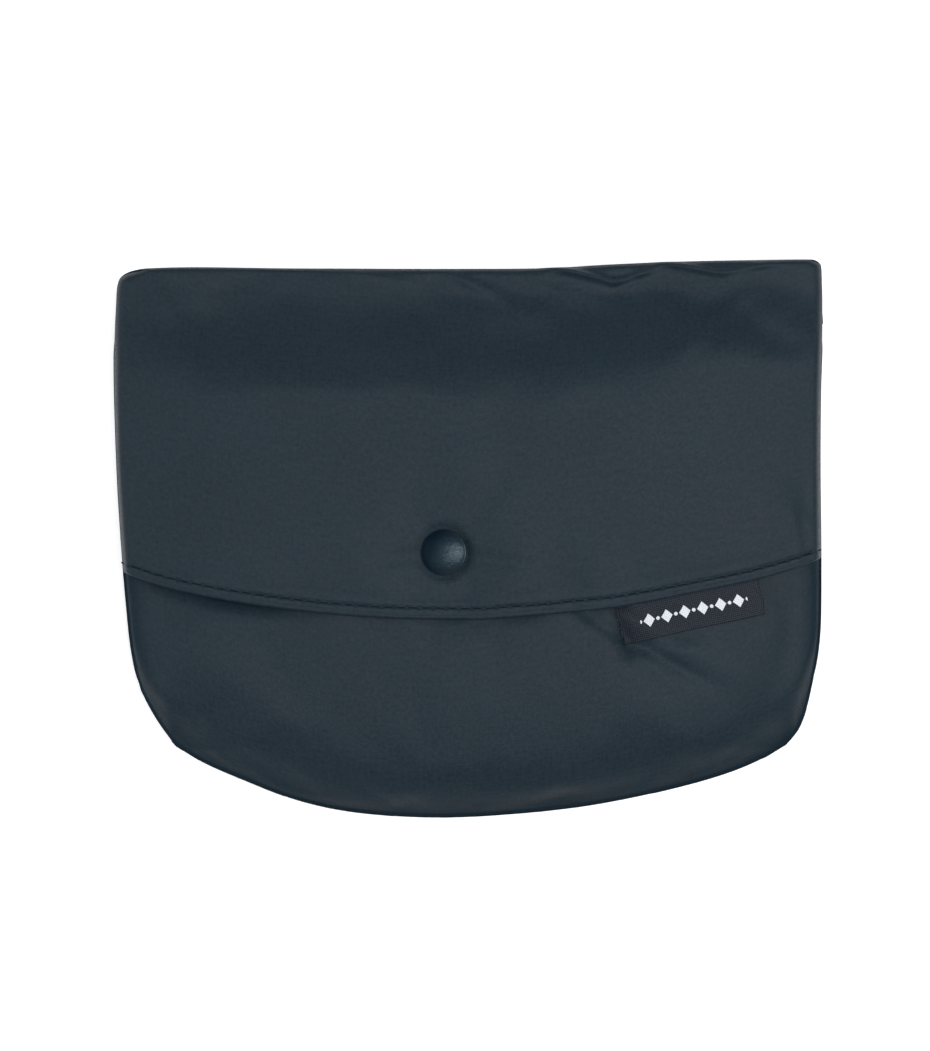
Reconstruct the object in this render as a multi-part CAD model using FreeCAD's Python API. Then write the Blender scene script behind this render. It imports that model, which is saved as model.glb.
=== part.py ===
"""Small flat fabric pouch, lying on its back, with a full-width flap held by one snap fastener.

Frame: millimetres, +Z up, +Y from the pouch's bottom towards the fold of the flap, +X to the right as
seen from above. The origin is at the middle of the bounding box's underside.

The front panel, the flap's layers and the label are sheets that follow one height function over the
plan, so they nest. The back panel is flat where it rests and curls up to the side and bottom seams.
"""
import FreeCAD
import Part
import math
import os

V = FreeCAD.Vector

# Overall plan
HALF_WIDTH = 117.6
HALF_HEIGHT = 92.4
TOP_CORNER_R = 6.0

# Heights
SEAM_Z = 9.0
CROWN = 16.0
SIDE_RUN = 26.0
TOP_RUN = 38.0
BELLY = 3.0
BACK_CURL_RUN = 16.0
BACK_TRIM = 0.2

# Fabric
PANEL_T = 1.5
LAYER_T = 0.75
LAYER_GAP = 0.05
BODY_GAP = 0.4

# Mouth of the pouch
MOUTH_Y = 76.0
MOUTH_HEM = 8.0

# Spine: the strip of the flap that stands up behind the mouth
SPINE_HALF = 100.0
SPINE_LAYER_T = 1.15
SPINE_BOTTOM_Z = 1.8
SPINE_TOP_Z = 10.4

# Snap fastener, a ring-spring snap with a 15 mm cap
SNAP_X = -8.0
SNAP_Y = -4.3
CAP_R = 7.5
CAP_RISE = 2.9
CAP_CLEARANCE = 0.25
DIMPLE_R = 18.0
FRONT_DIMPLE = 4.4
FLAP_DIMPLE = 0.8
CAP_POST_R = 1.9
FLAP_HOLE_R = 2.3
STUD_POST_R = 1.4
FRONT_HOLE_R = 2.1
SOCKET_R = 6.0
SOCKET_H = 2.85
SOCKET_WALL = 0.5
SOCKET_LIP = 0.3
SOCKET_CLEARANCE = 0.15
STUD_BASE_R = 5.5
STUD_BORE_H = 2.3
PATCH_R = 12.0

# Label: a folded woven tab that hangs from the flap's hem
LABEL_LENGTH = 48.0
LABEL_WIDTH = 12.4
LABEL_T = 0.8
LABEL_LIFT = 0.35
LABEL_ROOT = V(50.1, -23.2, 0)
LABEL_TILT = 11.0

# Thread
THREAD_R = 0.3
STITCH_PITCH = 4.2
STITCH_LENGTH = 2.9

# Sampling of the height functions
GRID_STEP = 7.5
GRID_MARGIN = 6.0

# Seam from the left end of the top edge, down, round the bottom and up to the right end of it
SIDE_POINTS = [
    (-HALF_WIDTH, HALF_HEIGHT - TOP_CORNER_R),
    (-HALF_WIDTH + 0.2, 60.0),
    (-116.3, 20.0),
    (-114.6, -14.0),
    (-110.5, -47.0),
    (-97.8, -68.7),
    (-66.2, -85.3),
    (-39.5, -91.0),
    (-5.0, -HALF_HEIGHT),
    (43.8, -89.4),
    (77.2, -82.6),
    (102.2, -71.5),
    (112.4, -58.0),
    (116.2, -33.7),
    (117.3, 0.0),
    (HALF_WIDTH - 0.1, 50.0),
    (HALF_WIDTH, HALF_HEIGHT - TOP_CORNER_R),
]

# The flap's hem, from past its left end to past its right end
HEM_POINTS = [
    (-122.0, -10.0),
    (-96.8, -16.3),
    (-66.8, -21.7),
    (-31.2, -25.2),
    (4.0, -25.8),
    (49.5, -21.7),
    (97.2, -12.3),
    (122.0, -5.0),
]


def through(points):
    """One smooth curve through a list of plan points."""
    curve = Part.BSplineCurve()
    curve.interpolate([V(x, y, 0) for x, y in points])
    return curve


def pouch_outline(inward=0.0):
    """The plan outline of the closed pouch, or one about `inward` inside it, as a wire at z = 0."""
    half_x = HALF_WIDTH - inward
    half_y = HALF_HEIGHT - inward
    straight = half_x - TOP_CORNER_R
    bulge = TOP_CORNER_R * (1 - math.sqrt(0.5))
    side = through([(x * half_x / HALF_WIDTH, y * half_y / HALF_HEIGHT) for x, y in SIDE_POINTS])
    left_foot = side.StartPoint
    right_foot = side.EndPoint
    left = Part.Arc(V(-straight, half_y, 0), V(bulge - half_x, half_y - bulge, 0), left_foot)
    right = Part.Arc(right_foot, V(half_x - bulge, half_y - bulge, 0), V(straight, half_y, 0))
    top = Part.LineSegment(V(straight, half_y, 0), V(-straight, half_y, 0))
    return Part.Wire(Part.__sortEdges__([c.toShape() for c in (side, right, top, left)]))


OUTLINE = pouch_outline()
SEAM_LOOP = [(p.x, p.y) for p in OUTLINE.discretize(Number=220)]
# The same loop with its top edge out of reach, so that only the sides and the bottom count
TOP_ZONE = TOP_CORNER_R * 2
OPEN_TOP_LOOP = [(x, y + (TOP_RUN if y > HALF_HEIGHT - TOP_ZONE else 0.0)) for x, y in SEAM_LOOP]


def inset(x, y, loop):
    """How far a plan point is inside a closed loop of points; negative outside it."""
    nearest = math.inf
    inside = False
    for (ax, ay), (bx, by) in zip(loop, loop[1:] + loop[:1]):
        dx = bx - ax
        dy = by - ay
        span = dx * dx + dy * dy
        if span == 0:
            continue
        along = min(1.0, max(0.0, ((x - ax) * dx + (y - ay) * dy) / span))
        nearest = min(nearest, math.hypot(x - ax - along * dx, y - ay - along * dy))
        if (ay > y) != (by > y) and x < ax + (y - ay) * dx / dy:
            inside = not inside
    return nearest if inside else -nearest


def rise(distance, run):
    """From 0 at a seam to 1 at `run` inside it, steepest at the seam, with a smooth run-out outside it."""
    u = distance / run
    if u < 0:
        return 3 * u / (1 - 2 * u)
    if u > 1:
        return 1.0
    return 1 - (1 - u) ** 3


def dimple(x, y):
    """The pull of the snap on the fabric round it: 1 at the snap, 0 well away from it."""
    return math.exp(-((math.hypot(x - SNAP_X, y - SNAP_Y) / DIMPLE_R) ** 4))


def dome(x, y):
    """Height of the front panel's inner face without the snap's pull."""
    from_sides = rise(inset(x, y, OPEN_TOP_LOOP), SIDE_RUN)
    from_top = rise(HALF_HEIGHT - y, TOP_RUN)
    belly = BELLY * (1 - (x / HALF_WIDTH) ** 2) * (1 - (y / HALF_HEIGHT) ** 2)
    return SEAM_Z + CROWN * from_sides * from_top + belly


def front_inner(x, y):
    return dome(x, y) - FRONT_DIMPLE * dimple(x, y)


def front_outer(x, y):
    return front_inner(x, y) + PANEL_T


def flap_under(x, y):
    """Height of the underside of the closed flap."""
    return dome(x, y) + PANEL_T + BODY_GAP - FLAP_DIMPLE * dimple(x, y)


def back_inner(x, y):
    """Height of the back panel's inner face."""
    return SEAM_Z - (SEAM_Z - PANEL_T) * rise(inset(x, y, OPEN_TOP_LOOP), BACK_CURL_RUN)


def surface(height):
    """A smooth face over the whole plan at height(x, y)."""
    half_x = HALF_WIDTH + GRID_MARGIN
    half_y = HALF_HEIGHT + GRID_MARGIN
    columns = round(2 * half_x / GRID_STEP)
    rows = round(2 * half_y / GRID_STEP)
    step_x = 2 * half_x / columns
    step_y = 2 * half_y / rows
    grid = [[height(step_x * i - half_x, step_y * j - half_y) for j in range(rows + 1)]
            for i in range(columns + 1)]
    skin = Part.BSplineSurface()
    skin.interpolate(grid, -half_x, step_x, -half_y, step_y)
    return skin.toShape()


def sheet(skin, lift, thickness, plan):
    """The solid between a skin raised by `lift` and the same skin `thickness` higher, within a plan face."""
    slab = skin.translated(V(0, 0, lift)).extrude(V(0, 0, thickness))
    column = plan.translated(V(0, 0, -10)).extrude(V(0, 0, 80))
    return slab.common(column).Solids[0]


def hole(radius):
    return Part.makeCylinder(radius, 80, V(SNAP_X, SNAP_Y, -10))


def plan_above(points, top_y):
    """A plan face from a curve through the points up to a straight line at top_y."""
    curve = through(points).toShape()
    left = V(*points[0], 0)
    right = V(*points[-1], 0)
    left_top = V(left.x, top_y, 0)
    right_top = V(right.x, top_y, 0)
    sides = [Part.LineSegment(a, b).toShape() for a, b in
             ((right, right_top), (right_top, left_top), (left_top, left))]
    return Part.Face(Part.Wire([curve, *sides]))


def plan_strip(y_low, y_high):
    """A plan rectangle across the whole width."""
    reach = HALF_WIDTH + GRID_MARGIN
    corners = [V(-reach, y_low, 0), V(reach, y_low, 0), V(reach, y_high, 0), V(-reach, y_high, 0)]
    return Part.Face(Part.makePolygon(corners + corners[:1]))


def thread(a, b, height, proud=0.1):
    """One straight stitch between two plan points, its thread sunk into the face at height(x, y)."""
    sink = THREAD_R - proud
    start = V(*a, height(*a) - sink)
    end = V(*b, height(*b) - sink)
    return Part.makeCylinder(THREAD_R, (end - start).Length, start, end - start)


def stitch_line(curve, height, first_x, last_x, proud=0.1):
    """Stitches at an even pitch along a plan curve, between two values of x."""
    edge = curve.toShape()
    count = int(edge.Length / STITCH_PITCH)
    points = edge.discretize(Number=count + 1)
    stitches = []
    for a, b in zip(points, points[1:]):
        if a.x < first_x or b.x > last_x:
            continue
        step = (b - a) * (STITCH_LENGTH / (b - a).Length)
        stitches.append(thread((a.x, a.y), (a.x + step.x, a.y + step.y), height, proud))
    return Part.makeCompound(stitches)


def axis_point(radius, z):
    """A point of a profile that turns about the snap's axis."""
    return V(SNAP_X + radius, SNAP_Y, z)


def turned(profile):
    """A ring or disc about the snap's axis from a closed profile of (radius, height) points."""
    points = [axis_point(r, z) for r, z in profile]
    face = Part.Face(Part.makePolygon(points + points[:1]))
    return face.revolve(V(SNAP_X, SNAP_Y, 0), V(0, 0, 1), 360)


# Skins shared by the sheets
FRONT_SKIN = surface(front_inner)
FLAP_SKIN = surface(flap_under)
BACK_SKIN = surface(back_inner)
POUCH_PLAN = Part.Face(OUTLINE)
FLAP_PLAN = POUCH_PLAN.common(plan_above(HEM_POINTS, HALF_HEIGHT + GRID_MARGIN))

# Heights on the snap's axis
FLAP_T = 3 * LAYER_T + 2 * LAYER_GAP
FLAP_UNDER_Z = flap_under(SNAP_X, SNAP_Y)
FLAP_TOP_Z = FLAP_UNDER_Z + FLAP_T
SOCKET_TOP_Z = FLAP_UNDER_Z - SOCKET_CLEARANCE
FRONT_TOP_Z = front_outer(SNAP_X, SNAP_Y)


def front_panel():
    plan = POUCH_PLAN.common(plan_strip(-HALF_HEIGHT - GRID_MARGIN, MOUTH_Y))
    return sheet(FRONT_SKIN, 0, PANEL_T, plan).cut(hole(FRONT_HOLE_R))


def back_panel():
    """Back of the pouch, trimmed flat where it rests."""
    whole = sheet(BACK_SKIN, -PANEL_T - BACK_TRIM, PANEL_T + BACK_TRIM, POUCH_PLAN)
    below = Part.makeBox(4 * HALF_WIDTH, 4 * HALF_HEIGHT, 10, V(-2 * HALF_WIDTH, -2 * HALF_HEIGHT, -10))
    return whole.cut(below)


def seam_binding():
    """Tape folded over the raw edges inside the side and bottom seams."""
    near = 1.0
    wide = 6.0
    half_t = 0.6
    ring = Part.Face(pouch_outline(near)).cut(Part.Face(pouch_outline(near + wide)))
    below_mouth = plan_strip(-HALF_HEIGHT - GRID_MARGIN, MOUTH_Y - MOUTH_HEM)
    strip = ring.common(below_mouth).translated(V(0, 0, SEAM_Z - half_t))
    return strip.extrude(V(0, 0, 2 * half_t))


def mouth_stitch():
    y = MOUTH_Y - MOUTH_HEM
    reach = HALF_WIDTH - 10
    return stitch_line(through([(-reach, y), (0, y - 0.3), (reach, y)]), front_outer, -reach, reach)


def mouth_bartacks():
    """A dense block of threads at each end of the mouth."""
    count = 6
    spacing = 0.8
    first = HALF_WIDTH - 14
    threads = []
    for side in (-1, 1):
        for k in range(count):
            x = side * (first + spacing * k)
            threads.append(thread((x, MOUTH_Y - MOUTH_HEM + 1), (x, MOUTH_Y - 2), front_outer))
    return Part.makeCompound(threads)


def flap_attach_stitch():
    """The seam across the back panel's top edge that holds the spine's facing."""
    y = HALF_HEIGHT - 6
    line = through([(-SPINE_HALF, y), (0, y), (SPINE_HALF, y)])
    return stitch_line(line, back_inner, -SPINE_HALF, SPINE_HALF)


def stud_patch():
    """A doubler behind the stud, on the inner face of the front panel."""
    plan = Part.Face(Part.Wire(Part.makeCircle(PATCH_R, V(SNAP_X, SNAP_Y, 0))))
    return sheet(FRONT_SKIN, -LAYER_GAP - LAYER_T, LAYER_T, plan).cut(hole(FRONT_HOLE_R))


def stud_patch_stitch():
    """A ring of stitches round the stud."""
    radius = PATCH_R - 2
    count = round(2 * math.pi * radius / STITCH_PITCH)
    half_turn = math.radians(180 / count) * STITCH_LENGTH / STITCH_PITCH
    stitches = []
    for k in range(count):
        middle = 2 * math.pi * k / count
        ends = [(SNAP_X + radius * math.cos(a), SNAP_Y + radius * math.sin(a))
                for a in (middle - half_turn, middle + half_turn)]
        stitches.append(thread(*ends, front_outer))
    return Part.makeCompound(stitches)


def spine_layer(depth):
    """One layer of the strip behind the mouth; depth is counted in from the outside."""
    corner_r = 2.0
    size = (2 * SPINE_HALF, SPINE_LAYER_T, SPINE_TOP_Z - SPINE_BOTTOM_Z)
    y = HALF_HEIGHT - depth - SPINE_LAYER_T
    box = Part.makeBox(*size, V(-SPINE_HALF, y, SPINE_BOTTOM_Z))
    end_edges = [e for e in box.Edges if abs(e.tangentAt(0).y) > 0.9]
    return box.makeFillet(corner_r, end_edges)


def flap_layer(number):
    """One layer of the flap, counted up from its underside."""
    lift = number * (LAYER_T + LAYER_GAP)
    return sheet(FLAP_SKIN, lift, LAYER_T, FLAP_PLAN).cut(hole(FLAP_HOLE_R))


def flap_top(x, y):
    return flap_under(x, y) + FLAP_T


def flap_topstitch():
    """The stitch line that runs just inside the flap's hem."""
    line_inset = 3.3
    line = through([(x, y + line_inset) for x, y in HEM_POINTS])
    return stitch_line(line, flap_top, -HALF_WIDTH + 6, HALF_WIDTH - 4, proud=0.2)


def snap_cap():
    """Domed cap with a rolled rim; its post runs through the flap and is flared in the socket."""
    wall = 0.5
    rim_h = 0.7
    roll_in = 1.2
    roll_bulge = 0.25
    flare_r = 2.6
    flare_t = 0.4
    rim_z = FLAP_TOP_Z + CAP_CLEARANCE
    rim_top = rim_z + rim_h
    crown_z = rim_z + CAP_RISE
    shoulder_r = 0.8 * CAP_R
    drop = 0.4 * (CAP_RISE - rim_h)
    shoulder_z = crown_z - drop
    crown_radius = (shoulder_r ** 2 + drop ** 2) / (2 * drop)
    half_way = shoulder_r / 2
    half_way_z = crown_z - crown_radius + math.sqrt(crown_radius ** 2 - half_way ** 2)
    flare_z = SOCKET_TOP_Z - SOCKET_WALL
    foot = axis_point(0, flare_z - flare_t)
    flare = [foot, axis_point(flare_r, flare_z - flare_t), axis_point(flare_r, flare_z)]
    post_foot = axis_point(CAP_POST_R, flare_z)
    post_head = axis_point(CAP_POST_R, crown_z - wall)
    inner_rim = axis_point(CAP_R - wall, rim_top)
    lip = axis_point(CAP_R - roll_in, rim_z)
    rim = axis_point(CAP_R, rim_top)
    shoulder = axis_point(shoulder_r, shoulder_z)
    bend = axis_point(CAP_R - wall, rim_top + 0.65 * (shoulder_z - rim_top))
    arcs = [
        Part.Arc(axis_point(0, crown_z), axis_point(half_way, half_way_z), shoulder),
        Part.Arc(shoulder, bend, rim),
        Part.Arc(rim, axis_point(CAP_R - roll_bulge, rim_z + roll_bulge / 2), lip),
        Part.Arc(inner_rim, axis_point(shoulder_r - wall, shoulder_z - wall), post_head),
    ]
    lines = [(lip, inner_rim), (post_head, post_foot), (post_foot, flare[2]), (flare[2], flare[1]),
             (flare[1], foot), (foot, axis_point(0, crown_z))]
    edges = [arc.toShape() for arc in arcs]
    edges += [Part.LineSegment(a, b).toShape() for a, b in lines]
    face = Part.Face(Part.Wire(Part.__sortEdges__(edges)))
    return face.revolve(V(SNAP_X, SNAP_Y, 0), V(0, 0, 1), 360)


def snap_socket():
    """Pressed cup under the flap that takes the stud's head and holds the ring spring."""
    bore_r = 2.0
    cup_r = 5.2
    cavity_r = 4.5
    mouth_r = 3.7
    flange_t = 0.6
    shoulder_h = 0.9
    top = SOCKET_TOP_Z
    bottom = top - SOCKET_H
    profile = [
        (bore_r, top), (SOCKET_R, top), (SOCKET_R, top - flange_t), (cup_r, top - shoulder_h),
        (cup_r, bottom), (mouth_r, bottom), (mouth_r, bottom + SOCKET_LIP), (cavity_r, bottom + SOCKET_LIP),
        (cavity_r, top - SOCKET_WALL), (bore_r, top - SOCKET_WALL),
    ]
    return turned(profile)


def snap_spring():
    """Split wire ring in the socket, drawn spread, as it is while the stud's head passes."""
    ring_r = 4.0
    wire_r = 0.22
    turn = 310
    z = SOCKET_TOP_Z - SOCKET_H + SOCKET_LIP + wire_r + 0.01
    return Part.makeTorus(ring_r, wire_r, V(SNAP_X, SNAP_Y, z), V(0, 0, 1), -180, 180, turn)


def snap_stud():
    """Stud on the front panel: base disc, neck and bulbous head, bored for its post."""
    disc_t = 0.4
    disc_h = 0.7
    neck_r = 2.3
    head_r = 3.0
    head_shoulder_r = 2.8
    head_h = STUD_BORE_H + 0.35
    bore_r = STUD_POST_R + 0.1
    z = FRONT_TOP_Z
    head_z = z + disc_h + 1.3
    profile = [
        (bore_r, z), (STUD_BASE_R, z), (STUD_BASE_R, z + disc_t), (STUD_BASE_R - 0.5, z + disc_h),
        (neck_r, z + disc_h), (neck_r, head_z - 0.7), (head_shoulder_r, head_z - 0.4), (head_r, head_z),
        (head_shoulder_r, head_z + 0.4), (head_shoulder_r - 0.6, z + head_h), (0, z + head_h),
        (0, z + STUD_BORE_H), (bore_r, z + STUD_BORE_H),
    ]
    return turned(profile)


def snap_stud_post():
    """Post that clamps the stud from inside the pouch, with a shallow domed flange."""
    flange_r = 5.0
    edge_t = 0.4
    dome_t = 1.0
    dome_r = 3.8
    top = FRONT_TOP_Z + STUD_BORE_H - 0.2
    flange_z = FRONT_TOP_Z - PANEL_T - LAYER_T - LAYER_GAP - 0.1
    profile = [
        (0, top), (STUD_POST_R, top), (STUD_POST_R, flange_z), (flange_r, flange_z),
        (flange_r, flange_z - edge_t), (dome_r, flange_z - 0.8), (0, flange_z - dome_t),
    ]
    return turned(profile)


def label():
    """Folded tab along the hem, lying on the front panel."""
    along = V(math.cos(math.radians(LABEL_TILT)), math.sin(math.radians(LABEL_TILT)), 0)
    down = V(along.y, -along.x, 0)
    corners = [LABEL_ROOT, LABEL_ROOT + along * LABEL_LENGTH,
               LABEL_ROOT + along * LABEL_LENGTH + down * LABEL_WIDTH, LABEL_ROOT + down * LABEL_WIDTH]
    plan = Part.Face(Part.makePolygon(corners + corners[:1]))
    return sheet(FRONT_SKIN, PANEL_T + LABEL_LIFT, LABEL_T, plan)


PARTS = {
    "front_panel": front_panel,
    "back_panel": back_panel,
    "seam_binding": seam_binding,
    "mouth_stitch": mouth_stitch,
    "mouth_bartacks": mouth_bartacks,
    "flap_attach_stitch": flap_attach_stitch,
    "stud_patch": stud_patch,
    "stud_patch_stitch": stud_patch_stitch,
    "snap_stud": snap_stud,
    "snap_stud_post": snap_stud_post,
    "flap_spine_outer": lambda: spine_layer(0),
    "flap_spine_facing": lambda: spine_layer(SPINE_LAYER_T + LAYER_GAP),
    "flap_facing": lambda: flap_layer(0),
    "flap_interlining": lambda: flap_layer(1),
    "flap_outer": lambda: flap_layer(2),
    "flap_topstitch": flap_topstitch,
    "snap_cap": snap_cap,
    "snap_socket": snap_socket,
    "snap_spring": snap_spring,
    "label": label,
}


def main():
    os.makedirs("parts", exist_ok=True)
    whole = FreeCAD.BoundBox()
    for name, build in PARTS.items():
        shape = build()
        shape.exportStep(f"parts/{name}.step")
        box = shape.optimalBoundingBox(True, False)
        whole.add(box)
        print(f"{name:20s} valid {shape.isValid()} solids {len(shape.Solids)} volume {shape.Volume:10.1f}"
              f" x {box.XMin:.2f}..{box.XMax:.2f} y {box.YMin:.2f}..{box.YMax:.2f}"
              f" z {box.ZMin:.2f}..{box.ZMax:.2f}")
    print(f"whole x {whole.XMin:.2f}..{whole.XMax:.2f} y {whole.YMin:.2f}..{whole.YMax:.2f}"
          f" z {whole.ZMin:.2f}..{whole.ZMax:.2f}")


main()
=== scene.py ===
"""Looks of the snap-flap fabric pouch: fabric, stitching, snap and woven tab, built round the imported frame.

Lengths are millimetres in the frame's own axes; meshes are scaled to metres when they are made. The pouch
lies on its back: +Z is up out of its front, +Y runs towards the fold of the flap.
"""
import math

import bpy
import numpy as np
from mathutils import Matrix, Vector


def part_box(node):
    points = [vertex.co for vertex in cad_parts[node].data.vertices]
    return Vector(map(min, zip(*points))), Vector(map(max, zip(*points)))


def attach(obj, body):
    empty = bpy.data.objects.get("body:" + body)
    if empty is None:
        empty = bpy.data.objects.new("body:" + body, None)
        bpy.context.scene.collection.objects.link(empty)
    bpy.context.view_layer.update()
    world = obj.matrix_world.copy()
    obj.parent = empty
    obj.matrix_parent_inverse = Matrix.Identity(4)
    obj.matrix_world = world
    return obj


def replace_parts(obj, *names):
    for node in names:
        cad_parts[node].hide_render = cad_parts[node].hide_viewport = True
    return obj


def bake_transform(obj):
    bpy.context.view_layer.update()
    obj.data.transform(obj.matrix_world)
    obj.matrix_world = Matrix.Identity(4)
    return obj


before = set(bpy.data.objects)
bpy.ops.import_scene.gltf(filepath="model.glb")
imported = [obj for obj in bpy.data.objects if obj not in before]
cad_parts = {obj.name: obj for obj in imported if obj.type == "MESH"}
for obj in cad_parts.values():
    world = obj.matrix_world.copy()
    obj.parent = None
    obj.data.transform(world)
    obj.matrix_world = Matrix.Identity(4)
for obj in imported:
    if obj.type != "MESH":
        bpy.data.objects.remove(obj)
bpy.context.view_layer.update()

MM = 0.001


def box_mm(node):
    low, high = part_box(node)
    return np.array(low) / MM, np.array(high) / MM


# Places read from the frame
CAP_LOW, CAP_HIGH = box_mm("snap_cap")
SNAP = (CAP_LOW + CAP_HIGH) / 2
CAP_RADIUS = (CAP_HIGH[0] - CAP_LOW[0]) / 2
SPINE_LOW, SPINE_HIGH = box_mm("flap_spine_outer")
LABEL_LOW, LABEL_HIGH = box_mm("label")
PANEL_HIGH = box_mm("front_panel")[1]
MOUTH_Y = PANEL_HIGH[1]
SPINE_MIDDLE_Z = (SPINE_LOW[2] + SPINE_HIGH[2]) / 2

# Heights of the filled pouch
SEAM_Z = 9.0
CROWN = 16.0
BELLY = 3.0
SIDE_RUN = 4.5
BOTTOM_RUN = 22.0
CROWN_RUN = 70.0
CROWN_SHARE = 0.25
TOP_RUN = 41.0
SHELF_DEPTH = 9.0
FOLD_ROLL = 2.8
FOLD_RIDGE = 0.6
SHELF_DROP = 0.6
BACK_RUN = 16.0
HALF_X = 117.6
HALF_Y = 92.4
EDGE_ROLL = 2.4
# Widths of the painted shade that takes the sheen off the cloth's steep rims, beside the seam and along the
# flap's sides
EDGE_PAINTED_SHADE = (2.0, 9.5)
FLAP_EDGE_PAINTED_SHADE = 1.7

# Thicknesses
CLOTH_T = 0.5
FACING_T = 0.35
FELT_T = 0.5
PANEL_T = 1.5
GAP = 0.4
FLAP_T = 2.35
HEM_STANDOFF = 1.7
HEM_R = 0.9
FRONT_DIP = 4.4
FLAP_DIP = 1.2
DIP_R = 18.0
DIP_SHARPNESS = 4

# Stitching
STITCH_PITCH = 4.2
STITCH_SHARE = 0.82
HEM_STITCH_INSET = 3.4
COLUMNS_PER_STITCH = 5
MOUTH_HEM = 8.0
MOUTH_DRAWN_IN = 0.009

# The lap, half way up the spine, of the flap's cloth over the back's
SPINE_LAP = 0.8
SPINE_REACH = 106.0

# Woven tab
TAB_TILT = math.radians(12.2)
TAB_LENGTH = 46.8
TAB_WIDTH = 12.6
TAB_T = 0.3
TAB_UNDER_HEM = 4.0
TAB_ALONG = np.array([math.cos(TAB_TILT), math.sin(TAB_TILT)])
TAB_DOWN = np.array([math.sin(TAB_TILT), -math.cos(TAB_TILT)])
TAB_ROOT = np.array([LABEL_LOW[0] - 1.4, LABEL_LOW[1] + TAB_WIDTH * math.cos(TAB_TILT) + 1.3])

# Plan curves, each from a few points in order
LEFT_SIDE = [
    (-109.0, 89.9), (-113.4, 88.6), (-116.0, 86.8), (-117.1, 83.8), (-117.5, 78.0), (-118.0, 62.0),
    (-117.0, 24.0), (-115.6, 0.0), (-114.0, -20.0), (-111.8, -40.0), (-109.8, -49.0), (-104.4, -59.8),
    (-98.0, -68.9),
]
BOTTOM_SIDE = [
    (-98.0, -68.9), (-89.5, -74.1), (-74.5, -80.7), (-57.0, -87.3), (-38.8, -91.2), (-12.0, -93.0),
    (14.5, -91.9), (41.0, -88.9), (67.8, -83.4), (86.5, -78.1), (98.0, -73.3), (105.9, -68.7),
]
RIGHT_SIDE = [
    (115.2, 93.0), (117.1, 91.4), (117.8, 84.0), (117.8, 70.0), (117.1, 50.0), (116.9, 24.0),
    (117.2, -10.0), (116.8, -32.0), (114.9, -47.5), (112.0, -59.3), (109.6, -64.4), (105.9, -68.7),
]
TOP_EDGE = [
    (-109.0, 89.9), (-92.0, 90.3), (-60.0, 90.0), (0.0, 89.8), (28.0, 90.1), (42.0, 91.0), (68.0, 92.2),
    (96.0, 92.7), (115.2, 93.0),
]
HEM_LEFT = [(-116.4, -10.6), (-96.8, -16.3), (-66.8, -21.7), (-31.2, -25.2), (4.0, -25.9)]
HEM_RIGHT = [(4.0, -25.9), (30.5, -23.8), (49.5, -21.7), (74.0, -17.2), (97.2, -12.3), (117.2, -6.2)]

# Creases: start x and y, end x and y, height and width, then the end width and two tapers where they differ
FRONT_CREASES = [
    (33, -21, 66, -42, -1.1, 2.0, 3.0, 0.2, 0.35),
    (42, -20, 82, -42, 0.7, 2.6, 3.4, 0.2, 0.4),
    (56, -34.5, 77, -46.5, -0.9, 1.0, 1.8, 0.12, 0.4),
    (50, -37, 64, -49, -0.6, 1.4, 2.4, 0.15, 0.4),
    (-108, -22, -38, -74, 0.9, 9.0, 7.0, 0.3, 0.3),
    (-112, -36, -66, -80, -1.0, 6.0, 6.0, 0.2, 0.3),
    (-70, -30, -52, -62, -0.5, 5.0),
    (108, -16, 100, -58, -0.6, 3.5, 5.0),
    (92, -30, 86, -66, 0.5, 5.0),
    (2, -26, 12, -34, -0.7, 3.4),
    (48, -22, 54, -38, -1.4, 1.8, 1.6, 0.2, 0.2),
]
FLAP_CREASES = [
    (24, 91, 48, 84.6, 1.6, 1.3, 1.1, 0.1, 0.12),
    (47, 84.4, 60, 88.5, 1.3, 1.2, 1.2, 0.15, 0.3),
    (34, 91, 54, 86.6, -1.0, 1.8, 1.7, 0.2, 0.3),
    (22, 87, 45, 81, -0.9, 2.0, 2.0, 0.2, 0.3),
    (49, 83, 58, 74, -0.8, 2.4, 3.6, 0.1, 0.5),
    (62, 92, 84, 87.5, 1.5, 1.3, 1.5, 0.2, 0.3),
    (83, 88, 101, 90.5, 1.1, 1.4, 1.4, 0.2, 0.3),
    (70, 92, 92, 89.4, -0.8, 1.6, 1.6),
    (90, 79, 67, 60, 1.1, 3.4, 4.0, 0.3, 0.5),
    (96, 76, 76, 56, -0.8, 3.2, 3.6, 0.3, 0.5),
    (-6, 87, 10, 80, 0.8, 1.6, 2.4),
    (-4, 86, 18, 74, 0.4, 3.0, 4.0),
    (-40, 88, -18, 84, 0.4, 1.4, 1.6),
    (-104, 86, -96, 70, 0.5, 2.5, 3.5),
    (112.5, 50, 110.5, 10, -0.5, 1.8, 2.4),
    (109, 6, 112.5, -10, -0.3, 1.0, 1.2),
    (106, 10, 108.5, -12, 0.25, 1.3, 1.6),
    (-29, -7, -10, -5, -0.55, 2.6, 3.0, 0.4, 0.2),
    (-6, -5.5, 17, -8, -0.55, 3.0, 2.4, 0.2, 0.4),
    (-4, 0, 14, 22, -0.4, 2.5, 5.0, 0.1, 0.5),
    (-12, 0, -24, 14, -0.35, 2.5, 4.5, 0.1, 0.5),
    (-4, -9, 2, -17, -0.35, 2.2, 3.0, 0.2, 0.4),
]


# ---- plan geometry


def between(t, start, end, a, b):
    return (end - t) / (end - start) * a + (t - start) / (end - start) * b


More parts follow.
